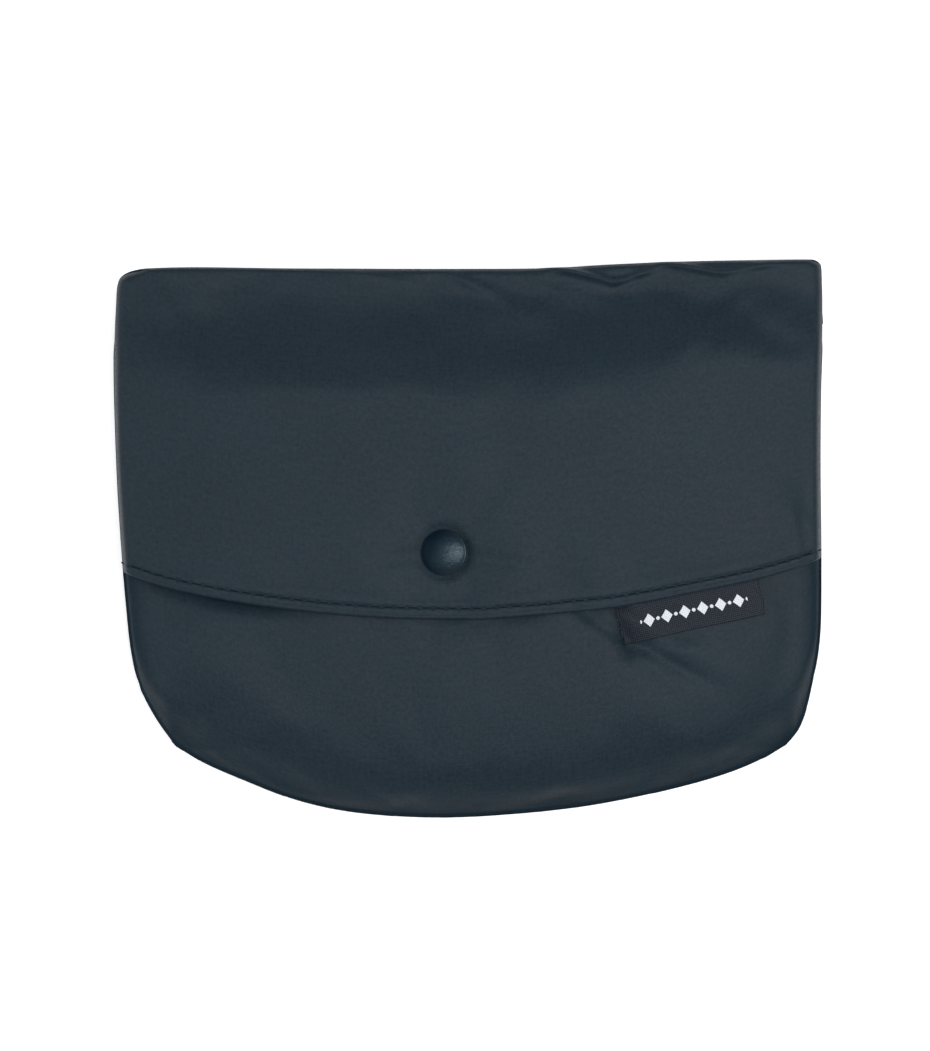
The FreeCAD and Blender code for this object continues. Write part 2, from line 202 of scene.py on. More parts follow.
def curve_through(points, steps=40):
    """A smooth line through the points, as dense samples."""
    p = np.array(points, float)
    p = np.vstack([2 * p[0] - p[1], p, 2 * p[-1] - p[-2]])
    line = []
    for k in range(1, len(p) - 2):
        t0 = 0.0
        t1 = t0 + np.linalg.norm(p[k] - p[k - 1]) ** 0.5
        t2 = t1 + np.linalg.norm(p[k + 1] - p[k]) ** 0.5
        t3 = t2 + np.linalg.norm(p[k + 2] - p[k + 1]) ** 0.5
        t = np.linspace(t1, t2, steps, endpoint=False)[:, None]
        a1 = between(t, t0, t1, p[k - 1], p[k])
        a2 = between(t, t1, t2, p[k], p[k + 1])
        a3 = between(t, t2, t3, p[k + 1], p[k + 2])
        b1 = between(t, t0, t2, a1, a2)
        b2 = between(t, t1, t3, a2, a3)
        line.append(between(t, t1, t2, b1, b2))
    return np.vstack([*line, p[-2:-1]])


def length_along(line):
    return np.concatenate([[0.0], np.cumsum(np.linalg.norm(np.diff(line, axis=0), axis=1))])


def sampled(line, shares):
    """Points of a line at the given shares of its length."""
    s = length_along(line)
    at = np.asarray(shares) * s[-1]
    return np.stack([np.interp(at, s, line[:, k]) for k in range(line.shape[1])], axis=1)


def graded(length, fine, coarse, growth=1.25, ends=(True, True)):
    """Shares from 0 to 1 whose steps grow from `fine` at the chosen ends to `coarse` in between."""
    ramp = []
    step = fine
    while step < coarse:
        ramp.append(step)
        step *= growth
    start = ramp if ends[0] else []
    end = ramp[::-1] if ends[1] else []
    middle = length - sum(start) - sum(end)
    count = max(1, round(middle / coarse))
    steps = [*start, *[middle / count] * count, *end]
    return np.concatenate([[0.0], np.cumsum(steps)]) / sum(steps)


def patch(left, right, bottom, top, u, v):
    """A plan grid inside four curves: rows along v from bottom to top, columns along u from left to right."""
    l = sampled(left, v)[:, None, :]
    r = sampled(right, v)[:, None, :]
    b = sampled(bottom, u)[None, :, :]
    t = sampled(top, u)[None, :, :]
    uu = u[None, :, None]
    vv = v[:, None, None]
    corners = ((1 - uu) * (1 - vv) * b[:, :1] + uu * (1 - vv) * b[:, -1:]
               + (1 - uu) * vv * t[:, :1] + uu * vv * t[:, -1:])
    return (1 - vv) * b + vv * t + (1 - uu) * l + uu * r - corners


def nearest_on(line, p, chunk=4000):
    """For each plan point: the nearest point on a line, the line's left-hand normal and length there."""
    flat = p.reshape(-1, 2)
    near = np.empty_like(flat)
    normal = np.empty_like(flat)
    length = np.empty(len(flat))
    a = line[:-1]
    d = line[1:] - a
    span = (d * d).sum(axis=1)
    left = np.stack([-d[:, 1], d[:, 0]], axis=1) / np.sqrt(span)[:, None]
    start_length = length_along(line)[:-1]
    for start in range(0, len(flat), chunk):
        q = flat[start:start + chunk, None, :]
        along = np.clip(((q - a) * d).sum(axis=2) / span, 0, 1)
        foot = a + along[..., None] * d
        best = np.argmin(((q - foot) ** 2).sum(axis=2), axis=1)
        row = np.arange(len(best))
        near[start:start + chunk] = foot[row, best]
        normal[start:start + chunk] = left[best]
        length[start:start + chunk] = start_length[best] + along[row, best] * np.sqrt(span[best])
    return near.reshape(p.shape), normal.reshape(p.shape), length.reshape(p.shape[:-1])


def seam_distance(x, y):
    p = np.stack([x, y], axis=-1)
    return np.linalg.norm(p - nearest_on(SEAM_LINE, p)[0], axis=-1)


def corner_eased(x, y, from_seam):
    """Distance from the seam, made smaller along the diagonals of the two bottom corners."""
    p = np.stack([x, y], axis=-1)
    side = np.minimum(*[np.linalg.norm(p - nearest_on(line, p)[0], axis=-1) for line in SIDE_LINES])
    lower = np.linalg.norm(p - nearest_on(LOWER_LINE, p)[0], axis=-1)
    share = np.clip(1 - np.abs(side - lower) / np.maximum(1.3 * from_seam, 1e-6), 0, 1)
    return from_seam * (1 - 0.32 * share ** 2)


def smoothstep(a, b, x):
    t = np.clip((x - a) / (b - a), 0, 1)
    return t * t * (3 - 2 * t)


def bell(distance, width):
    return np.exp(-((distance / width) ** 2))


def rise(distance, run):
    """0 at a seam, 1 from `run` inwards."""
    u = np.clip(distance / run, 0, 1)
    return 1 - (1 - u) ** 3


LEFT_LINE = curve_through(LEFT_SIDE)[::-1]
RIGHT_LINE = curve_through(RIGHT_SIDE)[::-1]
BOTTOM_LINE = curve_through(BOTTOM_SIDE)
TOP_LINE = curve_through(TOP_EDGE)
HEM_LINE = np.vstack([curve_through(HEM_LEFT)[:-1], curve_through(HEM_RIGHT)])
SEAM_LINE = sampled(np.vstack([LEFT_LINE[::-1], BOTTOM_LINE[1:], RIGHT_LINE[1:]]), np.linspace(0, 1, 420))
SIDE_LINES = [sampled(line, np.linspace(0, 1, 60)) for line in (LEFT_LINE, RIGHT_LINE)]
LOWER_LINE = sampled(BOTTOM_LINE, np.linspace(0, 1, 90))


def squeezed(line, first_x, last_x):
    """A line stretched in X to start and end at the given places."""
    line = line.copy()
    line[:, 0] = first_x + (line[:, 0] - line[0, 0]) * (last_x - first_x) / (line[-1, 0] - line[0, 0])
    return line


def top_y(x):
    return np.interp(x, TOP_LINE[:, 0], TOP_LINE[:, 1])


def hem_y(x):
    return np.interp(x, HEM_LINE[:, 0], HEM_LINE[:, 1])


# ---- shape of the cloth


def lattice_noise(x, y, size, seed):
    """Smooth noise from -1 to 1 with features of about `size` millimetres."""
    table = np.random.RandomState(seed).uniform(-1, 1, (128, 128))
    gx = x / size + 40
    gy = y / size + 40
    ix = np.floor(gx).astype(int)
    iy = np.floor(gy).astype(int)
    fx = gx - ix
    fy = gy - iy
    fx = fx * fx * fx * (fx * (fx * 6 - 15) + 10)
    fy = fy * fy * fy * (fy * (fy * 6 - 15) + 10)

    def value(dx, dy):
        return table[(ix + dx) % 128, (iy + dy) % 128]

    low = value(0, 0) * (1 - fx) + value(1, 0) * fx
    high = value(0, 1) * (1 - fx) + value(1, 1) * fx
    return low * (1 - fy) + high * fy


def crease(x, y, ax, ay, bx, by, height, width, end_width=None, start_taper=0.25, end_taper=0.4):
    """A ridge (or a valley, where height is negative) along a straight line in plan, fading at its ends."""
    dx = bx - ax
    dy = by - ay
    length = math.hypot(dx, dy)
    along = ((x - ax) * dx + (y - ay) * dy) / length ** 2
    across = ((x - ax) * dy - (y - ay) * dx) / length
    t = np.clip(along, 0, 1)
    w = width + ((end_width or width) - width) * t
    fade = smoothstep(-start_taper, start_taper, along)
    fade = fade * (1 - smoothstep(1 - end_taper, 1 + end_taper, along))
    return height * fade * bell(across, w)


def creases(x, y, table):
    return sum(crease(x, y, *row) for row in table)


def dip(x, y):
    """1 where the snap pulls the cloth down, 0 away from it."""
    return np.exp(-((np.hypot(x - SNAP[0], y - SNAP[1]) / DIP_R) ** DIP_SHARPNESS))


def dome(x, y, from_seam):
    """Height of the filled pouch's front: it falls towards the fold, then forms a shelf there."""
    from_seam = corner_eased(x, y, from_seam)
    low = smoothstep(-30, -75, y)
    wall = rise(from_seam, SIDE_RUN + (BOTTOM_RUN - SIDE_RUN) * low)
    side = CROWN_SHARE * rise(from_seam, CROWN_RUN) + (1 - CROWN_SHARE) * wall
    belly = BELLY * np.clip((1 - (x / HALF_X) ** 2) * (1 - (y / HALF_Y) ** 2), 0, 1)
    from_top = top_y(x) - y
    wander = 8.0 * lattice_noise(x, y * 0.5, 48, 7) + 4.0 * lattice_noise(x, y, 20, 8)
    drop = SHELF_DROP * (1 - 0.35 * smoothstep(60, 116, np.abs(x)))
    slope = 1 - drop * (1 - smoothstep(SHELF_DEPTH, TOP_RUN, from_top + wander * smoothstep(0, 20, from_top)))
    roll = 1 - (1 - drop) * (1 - rise(from_top, FOLD_ROLL)) ** 1.5
    ridge = FOLD_RIDGE * bell(from_top - 1.5, 4.5) * rise(from_seam, 12)
    return SEAM_Z + CROWN * side * (slope + roll - 1) + belly + ridge


def stand_off(x):
    """How far the hem stands off the front: most of its left half, past the middle and beside the tab."""
    left = smoothstep(-114, -98, x) * (1 - smoothstep(-74, -40, x))
    beside_tab = 0.5 * smoothstep(34, 42, x) * (1 - smoothstep(48, 54, x))
    return left + 0.5 * smoothstep(-2, 8, x) * (1 - smoothstep(14, 30, x)) + beside_tab


def tab_cover(x, y):
    """1 under the woven tab, 0 a little way outside it."""
    s = (x - TAB_ROOT[0]) * TAB_ALONG[0] + (y - TAB_ROOT[1]) * TAB_ALONG[1]
    t = (x - TAB_ROOT[0]) * TAB_DOWN[0] + (y - TAB_ROOT[1]) * TAB_DOWN[1]
    outside = np.hypot(np.maximum(0, np.maximum(-s, s - TAB_LENGTH)), np.maximum(0, t - TAB_WIDTH))
    return 1 - smoothstep(0, 7, outside)


def front_creases(x, y):
    """Folds of the front panel: pulled from under the hem past the tab's corner, and slack lower down."""
    h = creases(x, y, FRONT_CREASES)
    h += 0.45 * lattice_noise(x, y, 30, 3) + 0.1 * lattice_noise(x, y, 11, 4)
    h -= 3.0 * smoothstep(56, 110, x) * smoothstep(-20, -72, y)
    depth = 2.5 + 0.9 * lattice_noise(x, 0 * x, 13, 9)
    h -= depth * stand_off(x) * bell(y - hem_y(x) - 1.2, 3.8)
    return h


def seam_puckers(along, distance, amount, seed):
    """Small gathers across a seam, strongest beside it."""
    wave = lattice_noise(along, along * 0 + 5, 3.4, seed)
    wave = wave + 0.5 * lattice_noise(along, along * 0 + 9, 7.5, seed)
    return amount * wave * np.exp(-distance / 5.0)


def flap_creases(x, y):
    """Folds of the flap: pinches at its top fold, pulls round the snap and slack towards its right side."""
    h = creases(x, y, FLAP_CREASES)
    h += 0.8 * lattice_noise(x, y, 34, 11) + 0.22 * lattice_noise(x, y, 13, 12)
    from_snap = np.hypot(x - SNAP[0], y - SNAP[1])
    return h * (1 - np.exp(-((from_snap / 8.5) ** 4))) - 0.7 * bell(from_snap - CAP_RADIUS, 1.8)


# ---- mesh making


def grid_quads(rows, columns, start=0):
    i = np.arange(rows - 1)[:, None] * columns + np.arange(columns - 1)[None, :] + start
    return np.stack([i, i + 1, i + columns + 1, i + columns], axis=-1).reshape(-1, 4)


def grid_normals(p):
    """Unit normals of a grid of points, pointing up where rows run along +Y and columns along +X."""
    along_columns = np.gradient(p, axis=1)
    along_rows = np.gradient(p, axis=0)
    n = np.cross(along_columns, along_rows)
    return n / np.maximum(np.linalg.norm(n, axis=-1, keepdims=True), 1e-9)


def cloth_uv(p):
    """Lengths along the cloth, in millimetres, for a grid of points."""
    across = np.linalg.norm(np.diff(p, axis=1), axis=2)
    up = np.linalg.norm(np.diff(p, axis=0), axis=2)
    u = np.pad(np.cumsum(across, axis=1), ((0, 0), (1, 0)))
    v = np.pad(np.cumsum(up, axis=0), ((1, 0), (0, 0)))
    middle = u.shape[1] // 2
    u = u - u[:, middle:middle + 1] + p[:, middle:middle + 1, 0]
    return np.stack([u, v], axis=-1)


def placed(name, data):
    """A new object in the scene."""
    thing = bpy.data.objects.new(name, data)
    bpy.context.scene.collection.objects.link(thing)
    return thing


def make_mesh(name, points, faces, uv=None, painted_gloss=None):
    """A smooth-shaded object from points in millimetres."""
    mesh = bpy.data.meshes.new(name)
    metres = np.asarray(points).reshape(-1, 3) * MM
    mesh.from_pydata(metres.tolist(), [], [list(map(int, f)) for f in faces])
    mesh.validate()
    mesh.shade_smooth()
    corner = np.empty(len(mesh.loops), int)
    mesh.loops.foreach_get("vertex_index", corner)
    if uv is not None:
        layer = mesh.uv_layers.new(name="cloth")
        layer.data.foreach_set("uv", (np.asarray(uv).reshape(-1, 2)[corner] * MM).ravel())
    # The painted gloss mask, per point: painted shade on the cloth's rims, painted highlight on the right of
    # the snap cap
    if painted_gloss is not None:
        layer = mesh.attributes.new("painted_gloss", "FLOAT", "POINT")
        layer.data.foreach_set("value", np.asarray(painted_gloss, np.float32).ravel())
    return placed(name, mesh)


def thicken(piece, thickness):
    """Give a sheet its thickness, on the side away from its normals."""
    solid = piece.modifiers.new("thickness", "SOLIDIFY")
    solid.thickness = thickness * MM
    solid.offset = -1
    solid.use_rim = True
    return piece


def grid_sheet(name, p, thickness, uv=None, painted_gloss=None, flipped=False):
    """A sheet of cloth from a grid of points; `flipped` turns its faces over."""
    quads = grid_quads(*p.shape[:2])
    if flipped:
        quads = quads[:, ::-1]
    return thicken(make_mesh(name, p, quads, cloth_uv(p) if uv is None else uv, painted_gloss), thickness)


def even_picks(p, axis, spacing):
    """Indices along one axis of a grid, about `spacing` millimetres apart on the cloth, with both ends."""
    step = np.linalg.norm(np.diff(p, axis=axis), axis=2).mean(axis=1 - axis)
    length = np.concatenate([[0.0], np.cumsum(step)])
    wanted = np.linspace(0, length[-1], round(length[-1] / spacing) + 1)
    return np.unique(np.searchsorted(length, wanted - 1e-6))


def spread(values, picks, count):
    """Values at picked rows, smoothly spread over all `count` rows by a cubic spline."""
    place = np.interp(np.arange(count), picks, np.arange(len(picks)))
    padded = np.concatenate([2 * values[:1] - values[1:2], values, 2 * values[-1:] - values[-2:-1]])
    i = np.minimum(place.astype(int), len(picks) - 2)
    f = (place - i).reshape(-1, *[1] * (values.ndim - 1))
    weights = ((1 - f) ** 3, 3 * f ** 3 - 6 * f ** 2 + 4, 1 + 3 * f + 3 * f ** 2 - 3 * f ** 3, f ** 3)
    stack = np.concatenate([padded, padded[-1:]])
    return sum(w * stack[i + k] for k, w in enumerate(weights)) / 6


CLOTH_SETTINGS = {"quality": 8, "mass": 0.1, "tension_stiffness": 12, "compression_stiffness": 12,
                  "shear_stiffness": 4, "bending_stiffness": 0.01, "use_pressure": True}


def settled(p, held, slack, pressure, limit, spacing=4.5, frames=20):
    """How far each point of a grid moves when a coarse copy settles as cloth, held where `held` is true.

    The cloth is cut larger than the grid by the share `slack`, so it buckles between the places that hold it.
    """
    rows = even_picks(p, 0, spacing)
    columns = even_picks(p, 1, spacing)
    coarse = p[np.ix_(rows, columns)]
    piece = make_mesh("settling_cloth", coarse, grid_quads(*coarse.shape[:2]))
    group = piece.vertex_groups.new(name="held")
    group.add(np.flatnonzero(held[np.ix_(rows, columns)]).tolist(), 1.0, "REPLACE")
    modifier = piece.modifiers.new("cloth", "CLOTH")
    cloth = modifier.settings
    cloth.vertex_group_mass = group.name
    for key, value in CLOTH_SETTINGS.items():
        setattr(cloth, key, value)
    cloth.shrink_min = -slack
    cloth.uniform_pressure_force = pressure
    cloth.effector_weights.gravity = 0
    modifier.collision_settings.use_collision = False
    modifier.point_cache.frame_start = 1
    modifier.point_cache.frame_end = frames
    scene = bpy.context.scene
    for number in range(1, frames + 1):
        scene.frame_set(number)
    final = piece.evaluated_get(bpy.context.evaluated_depsgraph_get()).data
    after = np.empty(coarse.size, np.float32)
    final.vertices.foreach_get("co", after)
    moved = after.reshape(coarse.shape) / MM - coarse
    mesh = piece.data
    bpy.data.objects.remove(piece)
    bpy.data.meshes.remove(mesh)
    scene.frame_set(1)
    size = np.linalg.norm(moved, axis=-1, keepdims=True)
    moved /= 1 + size / limit
    moved = spread(moved, rows, p.shape[0])
    return spread(moved.transpose(1, 0, 2), columns, p.shape[1]).transpose(1, 0, 2)


def tubes(name, paths, radius, sides=7):
    """Round threads along many short paths, joined in one object, with closed ends."""
    points = []
    faces = []
    uv = []
    for path in paths:
        path = np.asarray(path, float)
        tangent = np.gradient(path, axis=0)
        tangent /= np.linalg.norm(tangent, axis=1, keepdims=True)
        side = np.cross(tangent, (0, 0, 1.0))
        side /= np.maximum(np.linalg.norm(side, axis=1, keepdims=True), 1e-6)
        up = np.cross(side, tangent)
        s = length_along(path)
        base = len(points)
        for k in range(len(path)):
            for m in range(sides):
                a = 2 * math.pi * m / sides
                points.append(path[k] + radius * (math.cos(a) * side[k] + math.sin(a) * up[k]))
                uv.append((s[k], radius * a))
        for k in range(len(path) - 1):
            for m in range(sides):
                n = (m + 1) % sides
                row = base + k * sides
                faces.append((row + m, row + sides + m, row + sides + n, row + n))
        faces.append([base + m for m in range(sides)])
        last = base + (len(path) - 1) * sides
        faces.append([last + m for m in reversed(range(sides))])
    return make_mesh(name, points, faces, uv)


def stitch_paths(line, sink, arch):
    """Arched stitches along a plan line on the front panel, whose ends go down into the cloth."""
    count = int(length_along(line)[-1] / STITCH_PITCH)
    ends = sampled(line, np.linspace(0, 1, count + 1))
    paths = []
    for a, b in zip(ends[:-1], ends[1:]):
        t = np.linspace(-0.5, 0.5, 9)[:, None]
        flat = (a + b) / 2 + (b - a) * STITCH_SHARE * t
        z = front_top(flat[:, 0], flat[:, 1]) - sink + arch * np.cos(math.pi * t[:, 0]) ** 0.6
        paths.append(np.column_stack([flat, z]))
    return paths


# ---- front and back of the pouch


def rolled_edge(p, roll, notch=0.45):
    """Move plan points near the seam so that the cloth rounds over into it.

    Returns the points, their distances from the seam, their heights on the round and places along the seam.
    """
    near, normal, along = nearest_on(SEAM_LINE, p)
    out = p - near
    length = np.linalg.norm(out, axis=-1)
    d = np.where((out * normal).sum(axis=-1) > 0, length, 0.0)
    inward = np.where(length[..., None] > 0.3, out / np.maximum(length, 1e-6)[..., None], normal)
    q = np.clip(d / roll, 0, 1)
    angle = q * math.pi / 2
    rounded = roll * (1 - np.cos(angle)) + notch * bell(q, 0.22)
    moved = np.where(q < 1, rounded, d)
    return near + inward * moved[..., None], moved, roll * np.sin(angle), along


def drawn_in(plan):
    """Plan points moved inwards at the sides, from a little below the mouth up, to stay under the flap."""
    x = plan[..., 0]
    share = smoothstep(MOUTH_Y - 14, MOUTH_Y, plan[..., 1]) * smoothstep(90, HALF_X, np.abs(x))
    return np.dstack([x * (1 - MOUTH_DRAWN_IN * share), plan[..., 1]])


def front_top(x, y):
    """Height of the front panel's outer face."""
    d = seam_distance(x, y)
    return dome(x, y, d) + PANEL_T + front_creases(x, y) * rise(d, 12.0) - FRONT_DIP * dip(x, y)


def turned_under(p, radius, depth, step=4):
    """Rows that carry a grid on round its last row and back under itself, as a turned hem."""
    n = grid_normals(p)
    out = p[-1] - p[-2]
    out /= np.linalg.norm(out, axis=1, keepdims=True)
    rows = [p[-1] + out * radius * math.sin(a) - n[-1] * radius * (1 - math.cos(a))
            for a in np.radians(np.linspace(30, 180, 6))]
    back = np.linalg.norm(p - p[-1:], axis=-1).mean(axis=1)
    for k in range(len(p) - 1 - step, 0, -step):
        if back[k] > depth:
            break
        rows.append(p[k] - 2 * radius * n[k])
    return np.array(rows)


def front_panel():
    left = LEFT_LINE[LEFT_LINE[:, 1] <= MOUTH_Y]
    right = RIGHT_LINE[RIGHT_LINE[:, 1] <= MOUTH_Y]
    sag = [(-50.0, MOUTH_Y - 0.6), (10.0, MOUTH_Y - 1.2), (60.0, MOUTH_Y - 0.4)]
    mouth = curve_through([left[-1], *sag, right[-1]])
    u = graded(226, 0.5, 1.25)
    v = graded(160, 0.5, 1.25, ends=(True, False))
    plan, d, lift, along = rolled_edge(patch(left, right, BOTTOM_LINE, mouth, u, v), EDGE_ROLL)
    plan = drawn_in(plan)
    x, y = plan[..., 0], plan[..., 1]
    z = dome(x, y, d) + lift / EDGE_ROLL * PANEL_T - FRONT_DIP * dip(x, y)
    below_hem = hem_y(x) - y
    covered = smoothstep(2, -8, below_hem)
    settling = settled(np.dstack([plan, z]), (d < 1.5) | (below_hem < -8), 0.009, 0.6, 2.0)
    settling *= ((1 - covered) * (1 - tab_cover(x, y)) * smoothstep(0.5, 6, d))[..., None]
    z += front_creases(x, y) * rise(d, 12.0)
    z += seam_puckers(along, d, 0.35, 21) * smoothstep(0, 1.5, d)
    from_mouth = MOUTH_Y - y
    z -= 0.35 * bell(from_mouth - MOUTH_HEM, 0.8)
    p = np.dstack([plan, z]) + settling
    hem = turned_under(p, 0.75, MOUTH_HEM + 2)
    # Painted shade: the sheen is taken off beside the seam and at the mouth's edge, so they render darker
    painted_gloss = seam_painted_shade(d) + 0.6 * bell(from_mouth, 1.2)
    painted_gloss = np.pad(painted_gloss, ((0, len(hem)), (0, 0)))
    p = np.concatenate([p, hem])
    return grid_sheet("front_cloth", p, CLOTH_T + 0.1, painted_gloss=painted_gloss)


def seam_painted_shade(d):
    """Painted shade: how much of the cloth's sheen is taken off at a distance from the seam, so its steep rim
    renders darker.
    """
    return 0.78 * (1 - smoothstep(*EDGE_PAINTED_SHADE, d)) + 0.22 * bell(d, 1.6)


def back_height(x, y, d):
    """Height of the back panel's outer face, which curls up to the seam."""
    slack = np.abs(lattice_noise(x, y, 30, 31)) * 0.5 * rise(d, 30)
    return SEAM_Z * (1 - rise(d, BACK_RUN)) + slack


def back_panel():
    """Back panel, from the bottom seam to the fold, and on up the lower half of the spine."""
    u = graded(226, 0.5, 1.7)
    v = graded(176, 0.5, 1.7, ends=(True, False))
    fold = 4.0
    reach = TOP_LINE - np.array([0, fold + SPINE_LAP])
    left = LEFT_LINE[LEFT_LINE[:, 1] <= reach[0, 1]]
    right = RIGHT_LINE[RIGHT_LINE[:, 1] <= reach[-1, 1]]
    top = squeezed(reach, left[-1, 0], right[-1, 0])
    plan, d, _, along = rolled_edge(patch(left, right, BOTTOM_LINE, top, u, v), EDGE_ROLL)
    plan = drawn_in(plan)
    x, y = plan[..., 0], plan[..., 1]
    z = back_height(x, y, d)
    z = z - seam_puckers(along, d, 0.3, 22) * smoothstep(0, 1.5, d) * (1 - smoothstep(60, 80, y))
    main = np.dstack([plan, np.maximum(z, 0.0)])
    edge = main[-1]
    # Past the ends of the flap's top edge, the spine turns forwards and rises to meet the flap's corners
    past = np.maximum(TOP_EDGE[0][0] - edge[:, 0], edge[:, 0] - TOP_EDGE[-1][0])
    turn = fold * (1 - 0.9 * smoothstep(0, 9, past))
    rows = []
    for angle in np.radians(np.linspace(9, 90, 10)):
        shrink = 1 - 0.018 * math.sin(angle)
        rows.append(np.column_stack([edge[:, 0] * shrink, edge[:, 1] + turn * math.sin(angle),
                                     edge[:, 2] + (fold * 0.6) * (1 - math.cos(angle))]))
    last = rows[-1]
    level = SPINE_MIDDLE_Z + 2.0 + 2.6 * smoothstep(-5, 0, past)
    level = np.maximum(level, last[:, 2] + 0.8)
    for share in (0.25, 0.5, 0.75, 1.0):
        rows.append(np.column_stack([last[:, :2], last[:, 2] + (level - last[:, 2]) * share]))
    p = np.concatenate([main, np.array(rows)])
    # Painted shade: the sheen is taken off beside the seam, and partly over the spine
    painted_gloss = np.pad(seam_painted_shade(d), ((0, len(rows)), (0, 0)), constant_values=0.25)
    return grid_sheet("back_cloth", p, CLOTH_T + 0.1, painted_gloss=painted_gloss, flipped=True)


def spine_facing():
    """Lining of the lower half of the spine, sewn to the inside of the back panel."""
    x = np.linspace(-SPINE_REACH, SPINE_REACH, 161)
    y_top = top_y(x) - SPINE_LAP - 1.6
    profile = [(-8.0, 0.85), (-5.0, 0.9), (-2.4, 1.1), (-1.0, 1.9), (-0.3, 3.0), (0.0, 4.4), (0.0, 6.0),
               (0.0, 7.6)]
    p = np.array([np.column_stack([x, y_top + dy, np.full_like(x, z)]) for dy, z in profile])
    p[..., 1] += 0.15 * lattice_noise(p[..., 0], p[..., 2] * 3, 9, 41)
    return grid_sheet("spine_facing_cloth", p, FACING_T)


def seam_tape():
    """Tape folded over the raw edges inside the side and bottom seams."""
    line = SEAM_LINE[SEAM_LINE[:, 1] <= MOUTH_Y - MOUTH_HEM]
    line = sampled(line, np.linspace(0, 1, 240))
    normal = nearest_on(SEAM_LINE, line)[1]
    upper = [(1.6, 0.0), (1.9, 0.42), (2.6, 0.6), (6.4, 0.6), (6.9, 0.4)]
    section = upper + [(n, -z) for n, z in reversed(upper)]
    ripple = 0.12 * lattice_noise(length_along(line), line[:, 0] * 0, 5, 42)
    p = np.array([np.column_stack([line + normal * n, SEAM_Z + z + ripple]) for n, z in section])
    return make_mesh("seam_tape", p, grid_quads(*p.shape[:2]), cloth_uv(p))


def stud_doubler():
    """Round doubler behind the stud."""
    angle = np.linspace(0, 2 * math.pi, 73)
    radius = np.concatenate([np.linspace(2.1, 11.4, 14), [11.8, 12.0]])
    x = SNAP[0] + radius[:, None] * np.cos(angle)
    y = SNAP[1] + radius[:, None] * np.sin(angle)
    p = np.dstack([x, y, front_top(x, y) - PANEL_T + 0.25])
    return grid_sheet("stud_doubler", p, CLOTH_T, np.dstack([x, y]), flipped=True)


# ---- flap


def flap_top(x, y):
    """Height of the closed flap's outer face, away from its hem and fold; it rests on the front panel."""
    d = seam_distance(x, y)
    soft = 0.35 + 0.65 * rise(d, 12.0)
    level = dome(x, y, d) + PANEL_T + GAP + FLAP_T
    own = level + flap_creases(x, y) * soft - FLAP_DIP * dip(x, y)
    own += HEM_STANDOFF * bell(y - hem_y(x), 14.0) * stand_off(x)
    support = level + front_creases(x, y) * rise(d, 12.0) - FRONT_DIP * dip(x, y) + 0.1
    return np.logaddexp(own / 0.3, support / 0.3) * 0.3


def hem_profile(from_hem):
    """How the hem stands above the flap: a rolled lip, a seam line, a puffy band and a stitched groove."""
    lip = 0.12 * bell(from_hem - 0.7, 0.6)
    seam = -0.16 * bell(from_hem - 1.25, 0.2)
    band = 0.22 * (smoothstep(0.3, 1.5, from_hem) - smoothstep(2.7, HEM_STITCH_INSET, from_hem))
    groove = -0.16 * bell(from_hem - HEM_STITCH_INSET, 0.4)
    shoulder = 0.12 * bell(from_hem - HEM_STITCH_INSET - 1.3, 1.0)
    return lip + seam + band + groove + shoulder


